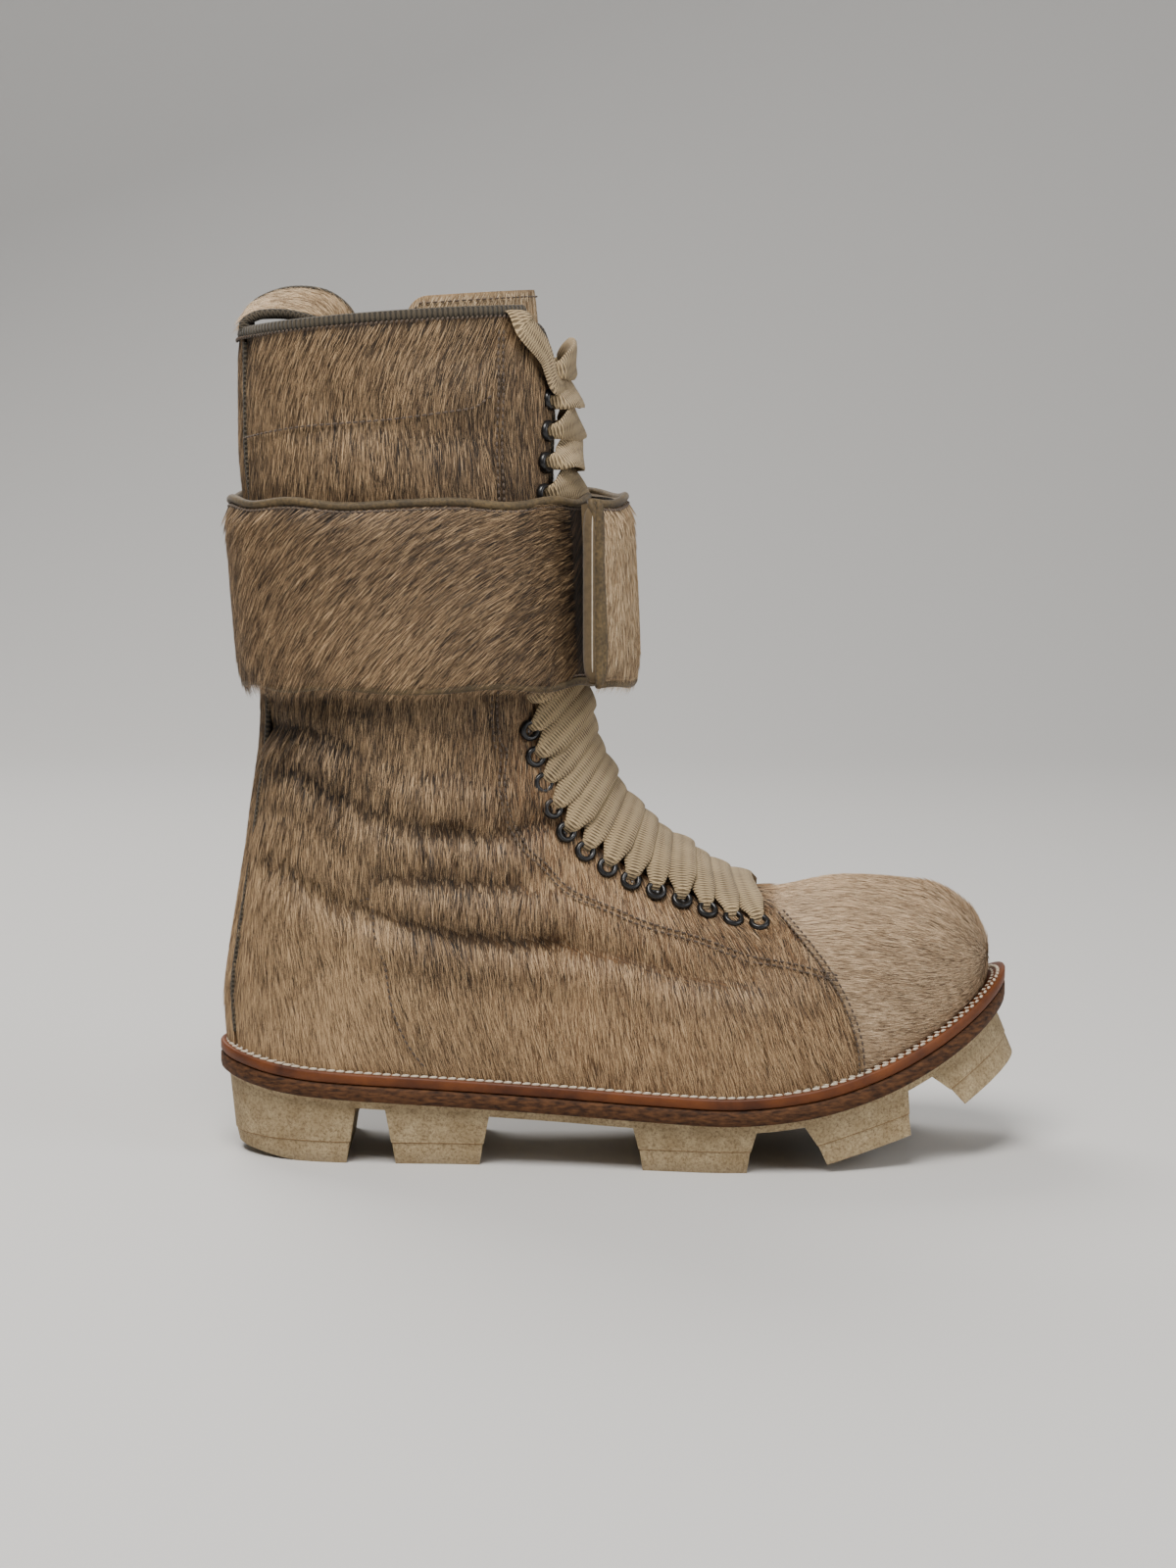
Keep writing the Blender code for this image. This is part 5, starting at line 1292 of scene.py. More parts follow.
def sew_upper():
    """The upper's wall, and its hair in two parts, above and below the strap's lower edge."""
    s = UPPER_ROWS[:, None]
    blocks = []
    for rows, a in hide_turns(s, s[: int(np.searchsorted(UPPER_ROWS, THROAT_END)) + 1]):
        line = follow_collar(follow_seam(rows, a), a)
        places = LAST.at(line, a, 0.0)
        flat = rows + 0 * a
        blocks.append(hide_block(
            line, a, np.where(rows < CAP_SEAM_TOP, -CAP_RECESS, 0.0), -WALL, hide_lie,
            upper_cover(places, a, flat), upper_warmth(places, a, flat)))
    hide_shell("upper_hide", blocks, HIDE_UNDER, "upper")
    for name, low, high, seed in (("leg_hair", STRAP_BOTTOM, 9.0, 11), ("foot_hair", -9.0, STRAP_BOTTOM, 12)):
        coat = []
        for b in blocks:
            z = b["outer"][..., 2]
            coat.append({**b, "cover": b["cover"] * ((z > low) & (z <= high))})
        comb_hair(name, coat, HIDE_HAIR, **UPPER_COAT, seed=seed)


sew_upper()


# Toe cap: a second piece of hide over the toe, paler and shorter-haired, its hair running back from the tip.
# It lies in a step of the upper, and a double row of thread follows its back edge.
CAP_TONES = {
    "Dark": (0.130, 0.080, 0.042, 1.0), "Body": (0.520, 0.355, 0.205, 1.0),
    "Pale": (0.860, 0.650, 0.420, 1.0), "Warm": (0.390, 0.230, 0.120, 1.0),
}
CAP_UNDER = hide_finish("cap_hide", CAP_TONES, False)
CAP_HAIR = hide_finish("cap_hide_strands", CAP_TONES, True)
CAP_COAT = {"per_mm2": 7.0, "length": 0.0065, "width": 0.00028, "clumping": 0.3, "stray": 0.12}


def cap_lie(points):
    """Hair runs back and a little down round the toe."""
    x, y = points[..., 0], points[..., 1]
    round_side = np.clip(np.abs(y - 0.008) / 0.045, 0, 1)
    return np.stack([-np.ones_like(x), 0.10 * np.sign(y) * round_side, 0.02 + 0.06 * round_side], -1)


def sew_cap():
    s = np.linspace(0, CAP_SEAM_TOP - 0.03, 44)[:, None]
    outer = -CAP_RECESS + GAP + CAP_THICKNESS
    blocks = [
        hide_block(follow_seam(s, a), a, outer, -CAP_RECESS + GAP, cap_lie, 1.0, 0.0, creased=False)
        for _, a in hide_turns(s, s)
    ]
    for b in blocks:
        x, y, z = np.moveaxis(b["outer"], -1, 0)
        b["flow"] = np.stack([y + z * 0.7, x, 0 * x], -1)
    hide_shell("toe_cap_hide", blocks, CAP_UNDER, "toe_cap")
    comb_hair("toe_cap_hair", blocks, CAP_HAIR, **CAP_COAT, seed=21, slot="cap_hide")


sew_cap()


# Backstay: a strip of the same hide sewn over the seam up the boot's back, from the welt to the collar.
# It is thinned towards its edges, which are piped with the collar's tape.
LEG_LINE = np.linspace(10.0, COLLAR_SECTION, 60)
BACKSTAY_COAT = {"per_mm2": 4.0, "length": 0.0085}


def sew_backstay():
    s = LEG_LINE[:, None]
    across = np.linspace(-1, 1, 13)[None, :]
    edge = BACKSTAY_WIDTH / 2 / LAST.half_girth(s)
    a = np.where(across < -1e-6, -1 + edge * -across, 1 - edge * across)
    crown = GAP + BACKSTAY_THICKNESS * (1 - 0.55 * across**6)
    line = follow_collar(s, a)
    shown = np.where(under_strap(LAST.at(line, a, 0.0)[..., 2]), 0.0, 1.0)
    block = hide_block(line, a, crown, GAP, hide_lie, shown, 0.1, creased=False)
    block["flow"][..., 0] = across * BACKSTAY_WIDTH / 2
    hide_shell("backstay_hide", [block], HIDE_UNDER, "backstay")
    comb_hair("backstay_hair", [block], HIDE_HAIR, **BACKSTAY_COAT, seed=31)


sew_backstay()


# Seams: dark brown thread in the hide. A double row curves down beside the eyelets to the cap, one row closes
# the counter, one runs level round the shaft, and a pair follows the cap's edge.
BROWN, BROWN_SHADE = (0.115, 0.075, 0.045, 1.0), (0.035, 0.022, 0.014, 1.0)
BROWN_THREAD = thread_finish("brown_thread", BROWN, BROWN_SHADE)
HIDE_STITCH = {"Pitch": 0.0026, "Length": 0.0021, "Thickness": 0.0009, "Slant": 0.05}
# Places that each seam runs through on the outer side: section number and turn
EYESTAY_SEAM = [
    (15.87, -0.245), (14.90, -0.262), (14.09, -0.270), (12.00, -0.258), (9.91, -0.250),
    (8.51, -0.325), (7.95, -0.362), (7.68, -0.372), (7.22, -0.410), (6.75, -0.417),
    (6.29, -0.435), (5.74, -0.448), (5.21, -0.483), (4.78, -0.522), (4.24, -0.605),
]
COUNTER_SEAM = [
    (10.01, -0.593), (9.26, -0.640), (8.62, -0.712), (8.18, -0.830), (7.87, -0.915), (7.69, -0.965)]
SHAFT_SEAM = [
    (14.99, -0.930), (15.05, -0.710), (15.03, -0.520), (15.04, -0.395), (15.05, -0.333), (15.15, -0.292)]
SEAM_ROW_APART, SEAM_LIFT = 0.0021, 0.0013


def seam_run(line, lift, shift=0.0, side=-1, step=0.0012):
    """Points and outward directions along a seam given by places on the form, moved sideways by shift."""
    line = np.array(line, float)
    knots = np.linspace(0, 1, len(line))
    fine = np.linspace(0, 1, 240)
    s = smooth_curve(knots, line[:, 0], fine)
    a = smooth_curve(knots, line[:, 1], fine) * -side
    base, normal = LAST.at(s, a, 0.0), LAST.out(s, a)
    points = base + unit(np.cross(normal, np.gradient(base, axis=0))) * shift * side
    points += normal * (crease_height(points)[:, None] + lift)
    run = run_along(points)
    at = np.linspace(0, run[-1], max(3, int(run[-1] / step)))
    pick, up = (np.stack([np.interp(at, run, v[:, k]) for k in range(3)], 1) for v in (points, normal))
    return pick, up, False


def sew_seams():
    runs = []
    for side in (-1, 1):
        for shift in (0.0, SEAM_ROW_APART):
            runs.append(seam_run(EYESTAY_SEAM, SEAM_LIFT, shift, side))
        runs.append(seam_run(COUNTER_SEAM, SEAM_LIFT, 0.0, side))
        runs.append(seam_run(SHAFT_SEAM, SEAM_LIFT, 0.0, side))
        cap_line = [(float(cap_seam(np.float64(a))) + 0.035, -a) for a in np.linspace(0.30, 0.985, 9)]
        for shift in (0.0004, 0.0004 + SEAM_ROW_APART):
            runs.append(seam_run(cap_line, SEAM_LIFT, -shift, side))
    sew("hide_seams", runs, BROWN_THREAD, HIDE_STITCH)


sew_seams()


# Collar binding: a dark woven tape folded over the collar's raw edge and overcast along its lower side.
# The same tape edges the shaft's two fronts, and is piped into both edges of the backstay.
BINDING_HEIGHT, BINDING_LIP, TAPE_SWELL = 0.003, 0.0008, 0.0008
BINDING_STITCH = {"Pitch": 0.0019, "Length": 0.0016, "Thickness": 0.0009, "Slant": 0.9}
TAPE_PALE, TAPE_DARK, TAPE_THREADS = (0.078, 0.060, 0.036, 1.0), (0.006, 0.005, 0.003, 1.0), 3300.0


def woven_group():
    """Shared: a plain weave or rib in a piece's own lengthwise and crosswise measure."""
    tree, given = new_tree("woven_tape", "ShaderNodeTree", {
        "Measure": "Vector", "Along": "Float", "Across": "Float"}, {"Height": "Float"})
    split = put_node(tree, "ShaderNodeSeparateXYZ", {"Vector": given["Measure"]}).outputs
    row = calc(tree, "MULTIPLY", split["X"], given["Along"])
    column = calc(tree, "MULTIPLY", split["Y"], given["Across"])
    waves = [calc(tree, "SINE", calc(tree, way, row, column)) for way in ("ADD", "SUBTRACT")]
    put_node(tree, "NodeGroupOutput", {"Height": span(tree, calc(tree, "MAXIMUM", *waves), -0.4, 1.0)})
    return tree


WOVEN = woven_group()


def woven_finish(name, light, dark, along, across, roughness=0.85, depth=0.0005):
    """Cloth tape or lace: its threads show as relief and as shade between them."""
    finish, tree = new_finish(name, roughness, Sheen_Weight=0.1)
    weave = put_node(tree, "ShaderNodeGroup", node_tree=WOVEN)
    measure = read_attribute(tree, "measure", "Vector")
    join(tree, weave, {"Measure": measure, "Along": along, "Across": across})
    height = weave.outputs["Height"]
    thread = calc(tree, "MULTIPLY_ADD", height, 0.7, -0.1)
    value = calc(tree, "MULTIPLY_ADD", noise(tree, object_place(tree), 90.0, 4.0), 0.55, thread, clamp=True)
    return dress(finish, blend(tree, value, dark, light), height, 0.9, depth)


BINDING_FINISH = woven_finish("binding_tape", TAPE_PALE, TAPE_DARK, TAPE_THREADS, TAPE_THREADS)
FACING_EDGE, FACING_DEPTH, FACING_END = 0.0009, 0.0013, 10.4
BACKSTAY_PIPING = 0.0012


def new_tube(name, tube, finish, node=None):
    """A piece made by tube_parts, which keeps its measure for the weave."""
    points, faces, measure = tube_parts(*tube)
    new_piece(name, points, faces, finish, node, 75, {"measure": measure})


def bind_collar():
    """The tape round the collar, standing further out where it crosses the backstay, and its stitches."""
    turn = float(throat_turn(COLLAR_SECTION))
    around = np.linspace(turn, 2 - turn, 180)
    a = np.where(around <= 1, around, around - 2)
    rise = LAST.at(COLLAR_SECTION + 1, 1.0)[2] - LAST.at(COLLAR_SECTION, 1.0)[2]
    line = follow_collar(np.full(a.shape, COLLAR_SECTION + 0.5 * BINDING_HEIGHT / rise), a)
    strip = BACKSTAY_WIDTH / 2 / LAST.half_girth(COLLAR_SECTION)
    near_back = np.clip((np.abs(a) - 1 + 0.08 + strip) / 0.08, 0, 1)
    outer = BINDING_LIP + near_back * (BACKSTAY_THICKNESS + GAP)
    inner = -WALL - BINDING_LIP / 2
    middle, normal = LAST.at(line, a, (outer + inner) / 2), LAST.out(line, a)
    up, side = path_frames(middle, normal)
    tube = middle, side, up, (outer - inner) / 2, BINDING_HEIGHT / 2 + TAPE_SWELL, 3.0, 14
    new_tube("collar_tape", tube, BINDING_FINISH, "collar_binding")
    low = LAST.at(line - 0.5 * (BINDING_HEIGHT + TAPE_SWELL) / rise, a, outer + 0.0003)
    sew("binding_stitches", [(low, normal, False)], BROWN_THREAD, BINDING_STITCH)


def tape_edges(name, s, turn, lift, *section):
    """Tape of a given section along an edge of the hide, on both sides of the boot."""
    for side, word in ((-1, "outer"), (1, "inner")):
        line = follow_collar(s, side * turn)
        middle = LAST.at(line, side * turn, lift)
        tube = middle, *path_frames(middle, LAST.out(line, side * turn)), *section
        new_tube(f"{name}_{word}", tube, BINDING_FINISH)


def edge_facings():
    """The thin dark edge of the shaft's two fronts, from the collar down beside the eyelets."""
    s = np.linspace(COLLAR_SECTION, FACING_END, 150)
    turn = throat_turn(s) + 0.0006 / LAST.half_girth(s)
    tape_edges("facing_edge", s, turn, -0.0004, FACING_EDGE, FACING_DEPTH, 2.4, 10)


def pipe_backstay():
    """The piping of the backstay's edges, from the collar down to the welt."""
    s = np.linspace(HEEL_SECTION + 0.12, COLLAR_SECTION - 0.06, 200)
    turn = 1 - (BACKSTAY_WIDTH / 2 + 0.0004) / LAST.half_girth(s)
    tape_edges("backstay_piping", s, turn, 0.0004, BACKSTAY_PIPING, BACKSTAY_PIPING, 2.0, 8)


bind_collar()
edge_facings()
pipe_backstay()


# Tongue: a long soft flap of hide under the laces, widening from the throat's lower end up to the collar.
# Its top stands above the collar with rounded corners, and a row of brown thread follows its edge.
TONGUE_THICKNESS, TONGUE_CLEARANCE, TONGUE_RISE = 0.0025, 0.0013, 0.011
TONGUE_HALF_WIDTH, TONGUE_CORNER, TONGUE_START = 0.078, 0.009, 4.7
TONGUE_WIDTHS = np.array([
    # section, share of the half width
    (4.70, 0.46), (7.00, 0.58), (9.50, 0.62), (12.00, 0.75), (15.00, 1.00), (18.00, 1.00),
])
TONGUE_COAT = {"per_mm2": 4.0, "length": 0.0065}
TONGUE_STITCH = {"Pitch": 0.0027, "Length": 0.0021, "Thickness": 0.0008}
TONGUE_SEAM_INSET, TONGUE_SEAM_SIDE, TONGUE_SEAM_TOP = 0.0026, 12, 40


def tongue_edge(s, top, metre):
    """Half the tongue's width, drawn in at its rounded top corners. The metre is in sections."""
    to_top = np.clip((top - s) / metre, 0, TONGUE_CORNER)
    corner = TONGUE_CORNER - np.sqrt(TONGUE_CORNER**2 - (TONGUE_CORNER - to_top) ** 2)
    return TONGUE_HALF_WIDTH * smooth_curve(TONGUE_WIDTHS[:, 0], TONGUE_WIDTHS[:, 1], s) - corner


def sew_tongue():
    metre = 1 / (LAST.at(COLLAR_SECTION + 1, 0)[2] - LAST.at(COLLAR_SECTION, 0)[2])
    top = COLLAR_SECTION + TONGUE_RISE * metre
    down = TONGUE_CORNER * (1 - np.sin(np.linspace(0, math.pi / 2, 9)))
    s = np.concatenate([np.linspace(TONGUE_START, COLLAR_SECTION, 110), top - down * metre])[:, None]
    a = np.linspace(-1, 1, 41)[None, :] * tongue_edge(s, top, metre) / LAST.half_girth(s)
    outside = -WALL - GAP - TONGUE_CLEARANCE
    z = LAST.at(s, a, 0.0)[..., 2]
    shown = np.where(z > COLLAR_HEIGHT - 0.012, 1.0, 0.0)
    inside = outside - TONGUE_THICKNESS
    block = hide_block(follow_seam(s, a), a, outside, inside, hide_lie, shown, 0.3, creased=False)
    # The tongue's skin and hair take the painted light tones.
    hide_shell("tongue_hide", [block], PAINTED_LIGHT_UNDER, "tongue")
    comb_hair("tongue_hair", [block], PAINTED_LIGHT_HAIR, **TONGUE_COAT, seed=41)
    side = np.linspace(COLLAR_SECTION - 0.2, top - 0.45 * metre * TONGUE_CORNER, TONGUE_SEAM_SIDE)
    edge = np.concatenate([side, np.full(TONGUE_SEAM_TOP, top - TONGUE_SEAM_INSET * metre)])
    reach = (tongue_edge(side, top, metre) - TONGUE_SEAM_INSET) / LAST.half_girth(side)
    a_left = np.concatenate([-reach, np.linspace(-reach[-1], 0, TONGUE_SEAM_TOP + 1)[1:]])
    s_full = np.concatenate([edge, edge[:-1][::-1]])
    a_full = np.concatenate([a_left, -a_left[:-1][::-1]])
    line = LAST.at(s_full, a_full, outside + 0.0007)
    sew("tongue_thread", [(line, LAST.out(s_full, a_full), False)], BROWN_THREAD, TONGUE_STITCH)


sew_tongue()


# Eyelets: small rings of black-enamelled metal, each a rolled rim on a short barrel.
# They are set down both edges of the lacing gap, close over the foot and wider apart up the leg.
EYELET_MARGIN, EYELET_COUNT = 0.0055, 25
EYELETS_BELOW_STRAP, EYELETS_ABOVE_STRAP = 13, 5
EYELET_TO_STRAP, LEG_PITCH = 0.018, 0.012
EYELET_RADIUS, EYELET_BORE, EYELET_THICKNESS, EYELET_SEAT = 0.0042, 0.0024, 0.0014, 0.0006

FIRST_EYELET = 5.3
LAST_EYELET = 15.4
ENAMEL_DARK, ENAMEL_RUBBED = (0.002, 0.002, 0.0025, 1.0), (0.010, 0.009, 0.009, 1.0)
RING_STEPS = 20


def eyelet_places(side):
    """Section number and turn of each eyelet on one side, counted from the toe."""
    s = np.linspace(FIRST_EYELET, LAST_EYELET, 400)
    a = side * (lacing_half_gap(s) + EYELET_MARGIN) / LAST.half_girth(s)
    s = follow_seam(s, a)
    points = LAST.at(s, a, 0.0)
    run = run_along(points)
    below, above = EYELETS_BELOW_STRAP - 1, EYELETS_ABOVE_STRAP - 1
    knots = [0, below, EYELET_COUNT - 1 - above, EYELET_COUNT - 1]
    strap = float(np.interp(STRAP_BOTTOM, points[:, 2], run))
    runs = [0, strap - EYELET_TO_STRAP, run[-1] - above * LEG_PITCH, run[-1]]
    at = np.interp(np.arange(EYELET_COUNT), knots, runs)
    return np.interp(at, run, s), np.interp(at, run, a)


def black_enamel():
    finish, tree = new_finish("black_enamel", 0.25)
    rub = noise(tree, object_place(tree), 500.0, 3.0)
    tone = blend(tree, rub, ENAMEL_DARK, ENAMEL_RUBBED)
    return dress(finish, tone, rough=span(tree, rub, 0.0, 1.0, 0.18, 0.42))


def eyelet_ring(finish):
    """One eyelet, turned about Z from its section. The section closes across the bore in a black floor, which
    is painted shade down the hole.
    """
    r, b, t = EYELET_RADIUS, EYELET_BORE, EYELET_THICKNESS
    # Painted shade: the first two points floor the bore in black enamel, in place of the dark down the hole.
    section = [
        (0.0, -0.0004), (b - 0.0004, -0.0004), (b - 0.0004, 0.5 * t), (b - 0.0001, 1.1 * t),
        (b + 0.0006, 1.35 * t), (r - 0.0006, 1.25 * t), (r - 0.0001, 0.8 * t), (r, 0.3 * t),
        (r - 0.0001, -0.0006), (0.0, -0.0006)]
    n, steps = len(section), RING_STEPS
    turns = [2 * math.pi * k / steps for k in range(steps)]
    points = [(x * math.cos(turn), x * math.sin(turn), h) for turn in turns for x, h in section]
    faces = [
        (k * n + m, (k + 1) % steps * n + m, (k + 1) % steps * n + m + 1, k * n + m + 1)
        for k in range(steps) for m in range(n - 1)]
    ring = bpy.data.objects.new("eyelet_ring", clean_mesh("eyelet_ring", points, faces, finish))
    bpy.context.scene.collection.objects.link(ring)
    return ring


def setting_tree():
    """Geometry Nodes: one fitting at every point, facing outward."""
    tree, given = new_tree("set_fittings", "GeometryNodeTree", {
        "Places": "Geometry", "Fitting": "Object", "Finish": "Material"}, {"Set": "Geometry"})
    one = put_node(tree, "GeometryNodeObjectInfo", {"Object": given["Fitting"]})
    laid = put_node(tree, "GeometryNodeInstanceOnPoints", {
        "Points": given["Places"], "Instance": one.outputs["Geometry"],
        "Rotation": aligned(tree, painted(tree, "outward"), "Z")})
    return settle(tree, laid.outputs["Instances"], given["Finish"], "Set")


def set_eyelets():
    finish = black_enamel()
    ring = eyelet_ring(finish)
    spots, names = [], []
    first_above = EYELET_COUNT - EYELETS_ABOVE_STRAP
    shown = [k for k in range(EYELET_COUNT) if not EYELETS_BELOW_STRAP <= k < first_above]
    for side, word in ((-1, "outer"), (1, "inner")):
        s, a = (v[shown] for v in eyelet_places(side))
        normal = LAST.out(s, a)
        points = LAST.at(s, a, 0.0) + normal * (EYELET_SEAT + 0.0002)
        spots += [(points[i:i + 1], normal[i:i + 1], False) for i in range(len(s))]
        names += [f"eyelet_{word}_{k + 1:02d}" for k in shown]
    grow("black_eyelets", path_object(spots), setting_tree(), {
        "Fitting": ring, "Finish": finish}, names)
    bpy.data.objects.remove(ring)


set_eyelets()


# Lace: one long flat cotton lace, ribbed. It crosses over the gap from eyelet to eyelet, drops through,
# steps up inside and crosses back. The bars lie side by side over the foot, and twist above the strap.
# Its end tucks behind the collar.
LACE_PALE, LACE_DARK = (0.61, 0.445, 0.240, 1.0), (0.060, 0.037, 0.016, 1.0)
LACE_FINISH = woven_finish("lace_cotton", LACE_PALE, LACE_DARK, 5200.0, 700.0, 0.9, 0.0009)
LACE_WIDTH, LACE_THICKNESS, LACE_BORE_WIDTH, LACE_PLUMP = 0.0116, 0.0018, 0.0030, 0.7
LACE_BASE = EYELET_SEAT + EYELET_THICKNESS + GAP
LACE_UNDER = -WALL * 1.1
BAR_STEPS, STEP_UP_STEPS = 46, 8


def lace_bar(k, side, place_s, place_a):
    """One bar from eyelet to eyelet: points, outward directions, half widths, half thicknesses and rolls."""
    t = np.linspace(0, 1, BAR_STEPS)
    across = side * np.cos(math.pi * t * 0.98 + 0.01 * math.pi) / math.cos(0.01 * math.pi)
    near_eye = 1 - np.abs(across)
    forward = np.clip((BLEND_END - place_s[k]) / 2, 0, 1)
    s = place_s[k] + 0.30 * (1 - across**2) * forward
    a = across * place_a[k]
    shaft = k >= EYELETS_BELOW_STRAP
    seen_above = k >= EYELET_COUNT - EYELETS_ABOVE_STRAP
    wobble = math.sin(2.4 * k + 0.7)
    full = 1.35 if seen_above else 0.95
    length = 2 * place_a[k] * LAST.half_girth(place_s[k])
    out = np.clip(near_eye * length / 2 / 0.0032, 0, 1)
    rise = LACE_BASE + LACE_THICKNESS / 2 + 0.0006 * wobble + (0.0012 if seen_above else 0.0)
    offset = LACE_UNDER + (rise - LACE_UNDER) * np.sin(out * math.pi / 2)
    offset += (0.0026 if seen_above else 0.0005) * np.sin(math.pi * t) ** 2
    if seen_above:
        s = s + 0.10 * np.sin(math.pi * t) ** 2 - 0.03 + 0.03 * np.sin(2 * math.pi * t) * wobble
    normal = LAST.out(s, a)
    points = LAST.at(s, a, 0.0) + normal * offset[:, None]
    spread = np.clip(near_eye * length / 2 / (0.013 if seen_above else 0.010), 0, 1) ** 0.7
    width = LACE_BORE_WIDTH + (LACE_WIDTH * full * (1 + 0.05 * wobble) - LACE_BORE_WIDTH) * spread
    roll = np.full(len(t), math.radians(11 + 4 * wobble))
    if shaft:
        twist = math.radians(24 + 9 * wobble) if seen_above else 0.2
        roll = math.radians(18) + twist * np.sin(math.pi * t * 2 + wobble)
    thick = LACE_THICKNESS / 2 * (1 + LACE_PLUMP * np.sin(math.pi * np.clip(near_eye, 0, 1) / 2))
    return points, normal, width / 2, thick, roll * side * np.clip(near_eye * 4, 0, 1)


def thread_lace():
    place_s, place_a = eyelet_places(1)
    parts, side = [], 1
    for k in range(EYELET_COUNT):
        parts.append(lace_bar(k, side, place_s, place_a))
        side = -side
        if k + 1 < EYELET_COUNT:
            t = np.linspace(0, 1, STEP_UP_STEPS + 2)[1:-1]
            s = place_s[k] + (place_s[k + 1] - place_s[k]) * t
            a = side * (place_a[k] + (place_a[k + 1] - place_a[k]) * t)
            under = LAST.at(s, a, LACE_UNDER - 0.0008 * np.sin(math.pi * t))
            parts.append((under, LAST.out(s, a), 0 * t + LACE_BORE_WIDTH / 2, 0 * t + 0.0006, 0 * t))
    points, up, half_width, half_thick, roll = (np.concatenate([p[i] for p in parts]) for i in range(5))
    side_way, out = path_frames(points, up)
    c, s = np.cos(roll)[:, None], np.sin(roll)[:, None]
    side_way, out = side_way * c + out * s, out * c - side_way * s
    tube = points, side_way, out, half_width, half_thick, 2.1, 14
    new_tube("cotton_lace", tube, LACE_FINISH, ["lace_vamp", "lace_shaft"])
    tuck_end(side)


def tuck_end(side):
    """The lace's end, from the top eyelet up over the collar's corner and down behind it."""
    place_s, place_a = eyelet_places(side)
    s_top, a_top = place_s[-1], place_a[-1]
    gap = float(throat_turn(COLLAR_SECTION))
    over = COLLAR_SECTION + 0.13
    eye = abs(a_top)
    knots = np.array([
        # section, turn from the middle, offset, quarter turns from outward over to inward
        (s_top - 0.02, 0.35 * eye, 0.0034, 0.0),
        (s_top - 0.22, 0.75 * eye, 0.0042, 0.0),
        (s_top - 0.18, eye + 0.010, 0.0040, 0.0),
        (s_top + 0.14, eye + 0.032, 0.0034, 0.0),
        (COLLAR_SECTION - 0.04, gap + 0.026, 0.0034, 0.2),
        (over, gap + 0.030, 0.0002, 1.0),
        (over, gap + 0.034, -0.0046, 1.6),
        (COLLAR_SECTION - 0.2, gap + 0.038, -0.0060, 2.0),
        (COLLAR_SECTION - 0.55, gap + 0.044, -0.0064, 2.0),
    ])
    knots[:, 1] *= np.sign(a_top)
    t = np.linspace(0, 1, 48)
    at = np.linspace(0, 1, len(knots))
    s, a, offset, lean = (smooth_curve(at, knots[:, k], t) for k in range(4))
    points = LAST.at(s, a, offset)
    lean = lean[:, None] * math.pi / 2
    up = LAST.out(s, a) * np.cos(lean) + np.array([0.0, 0.0, 1.0]) * np.sin(lean)
    half = 0.0035 + (LACE_WIDTH / 2 - 0.0035) * np.clip((t - 0.15) / 0.3, 0, 1)
    tube = points, *path_frames(points, up), half, LACE_THICKNESS / 2, 2.2, 12
    new_tube("lace_end", tube, LACE_FINISH)


thread_lace()


# Strap: a padded band of the same hide round the ankle, lined with suede and piped all round in olive-brown.
# Its outer end laps over the inner one across the front of the laces, and stands off a little.
STRAP_EDGE, STRAP_PAD, STRAP_LAP, STRAP_BULGE, STRAP_SLACK = 0.0038, 0.0035, 0.0068, 0.0073, 0.0003
STRAP_FRONT_CLEARANCE, STRAP_BACK_CLEARANCE = (0.0041, 0.0054), (0.0033, 0.0027)
PIPING_RADIUS = 0.0016

# The strap is an upright squared oval round the leg.
# A turn, in radians, runs from the front middle round by the inner side.
STRAP_SQUARE = 2.7
STRAP_OVER_END = -0.62
STRAP_UNDER_END = 0.35
STRAP_SETTLE_FROM, STRAP_SETTLE_TO = 0.75, 1.75
STRAP_BULGE_REACH = 1.2
STRAP_TUCK_FROM, STRAP_TUCK_TO = 2 * math.pi - 1.1, 2 * math.pi - 0.7
STRAP_TUCK_PAD = 0.25
# The over end's paler hair, the hide's tones painted lighter as if lit, gives way to the darker hair between
# these turns.
STRAP_FADE_FROM, STRAP_FADE_TO = 0.15, 0.85
# Across the band: share of its height, and how much of the padding stands out there
STRAP_PROFILE = [(0.0, 0.15), (0.06, 0.65), (0.2, 0.95), (0.5, 1.0), (0.8, 0.95), (0.94, 0.65), (1.0, 0.15)]
INNER_SHARES = (0.012, 0.25, 0.5, 0.75, 0.988)
PIPING_DARK, PIPING_PALE = (0.030, 0.019, 0.006, 1.0), (0.125, 0.081, 0.030, 1.0)
SUEDE_DARK, SUEDE_PALE = (0.058, 0.037, 0.016, 1.0), (0.150, 0.102, 0.048, 1.0)
STRAP_COAT = {"per_mm2": 5.0, "width": 0.00028, "clumping": 0.35, "stray": 0.10, "seed": 51}
STRAP_END_HAIR_LENGTH, STRAP_HAIR_LENGTH = 0.0065, 0.0088
# The strap's stitches are dark rows of painted shade beside its piping.
STRAP_SHADE_STITCH = {"Pitch": 0.0021, "Length": 0.0022, "Thickness": 0.0012, "Slant": 0.0}


def strap_ends():
    """Where the oval passes the front and the back, at the band's lower and upper edges."""
    ends = []
    for height, ahead, behind in zip((0.0, STRAP_HEIGHT), STRAP_FRONT_CLEARANCE, STRAP_BACK_CLEARANCE):
        front = LAST.at(LAST.section_at_height(STRAP_BOTTOM + height, 0.0), 0.0)[0]
        back = LAST.at(LAST.section_at_height(STRAP_BOTTOM + height, 1.0), 1.0)[0]
        ends.append((front + ahead, back - behind))
    return np.array(ends)


def strap_point(ends, turn, out, share):
    """A point of the strap's wall, this share of the way up and this far out."""
    front, back = ends[0] + share * (ends[1] - ends[0])
    axis = (ends[0].mean() + ends[1].mean()) / 2
    c, s = math.cos(turn), math.sin(turn)
    reach = (front - axis if c > 0 else axis - back) + out
    half = SHAFT_WIDTH / 2 + out
    x = axis + reach * math.copysign(abs(c) ** (2 / STRAP_SQUARE), c)
    y = half * math.copysign(abs(s) ** (2 / STRAP_SQUARE), s)
    return np.array([x, y, STRAP_BOTTOM + share * STRAP_HEIGHT])


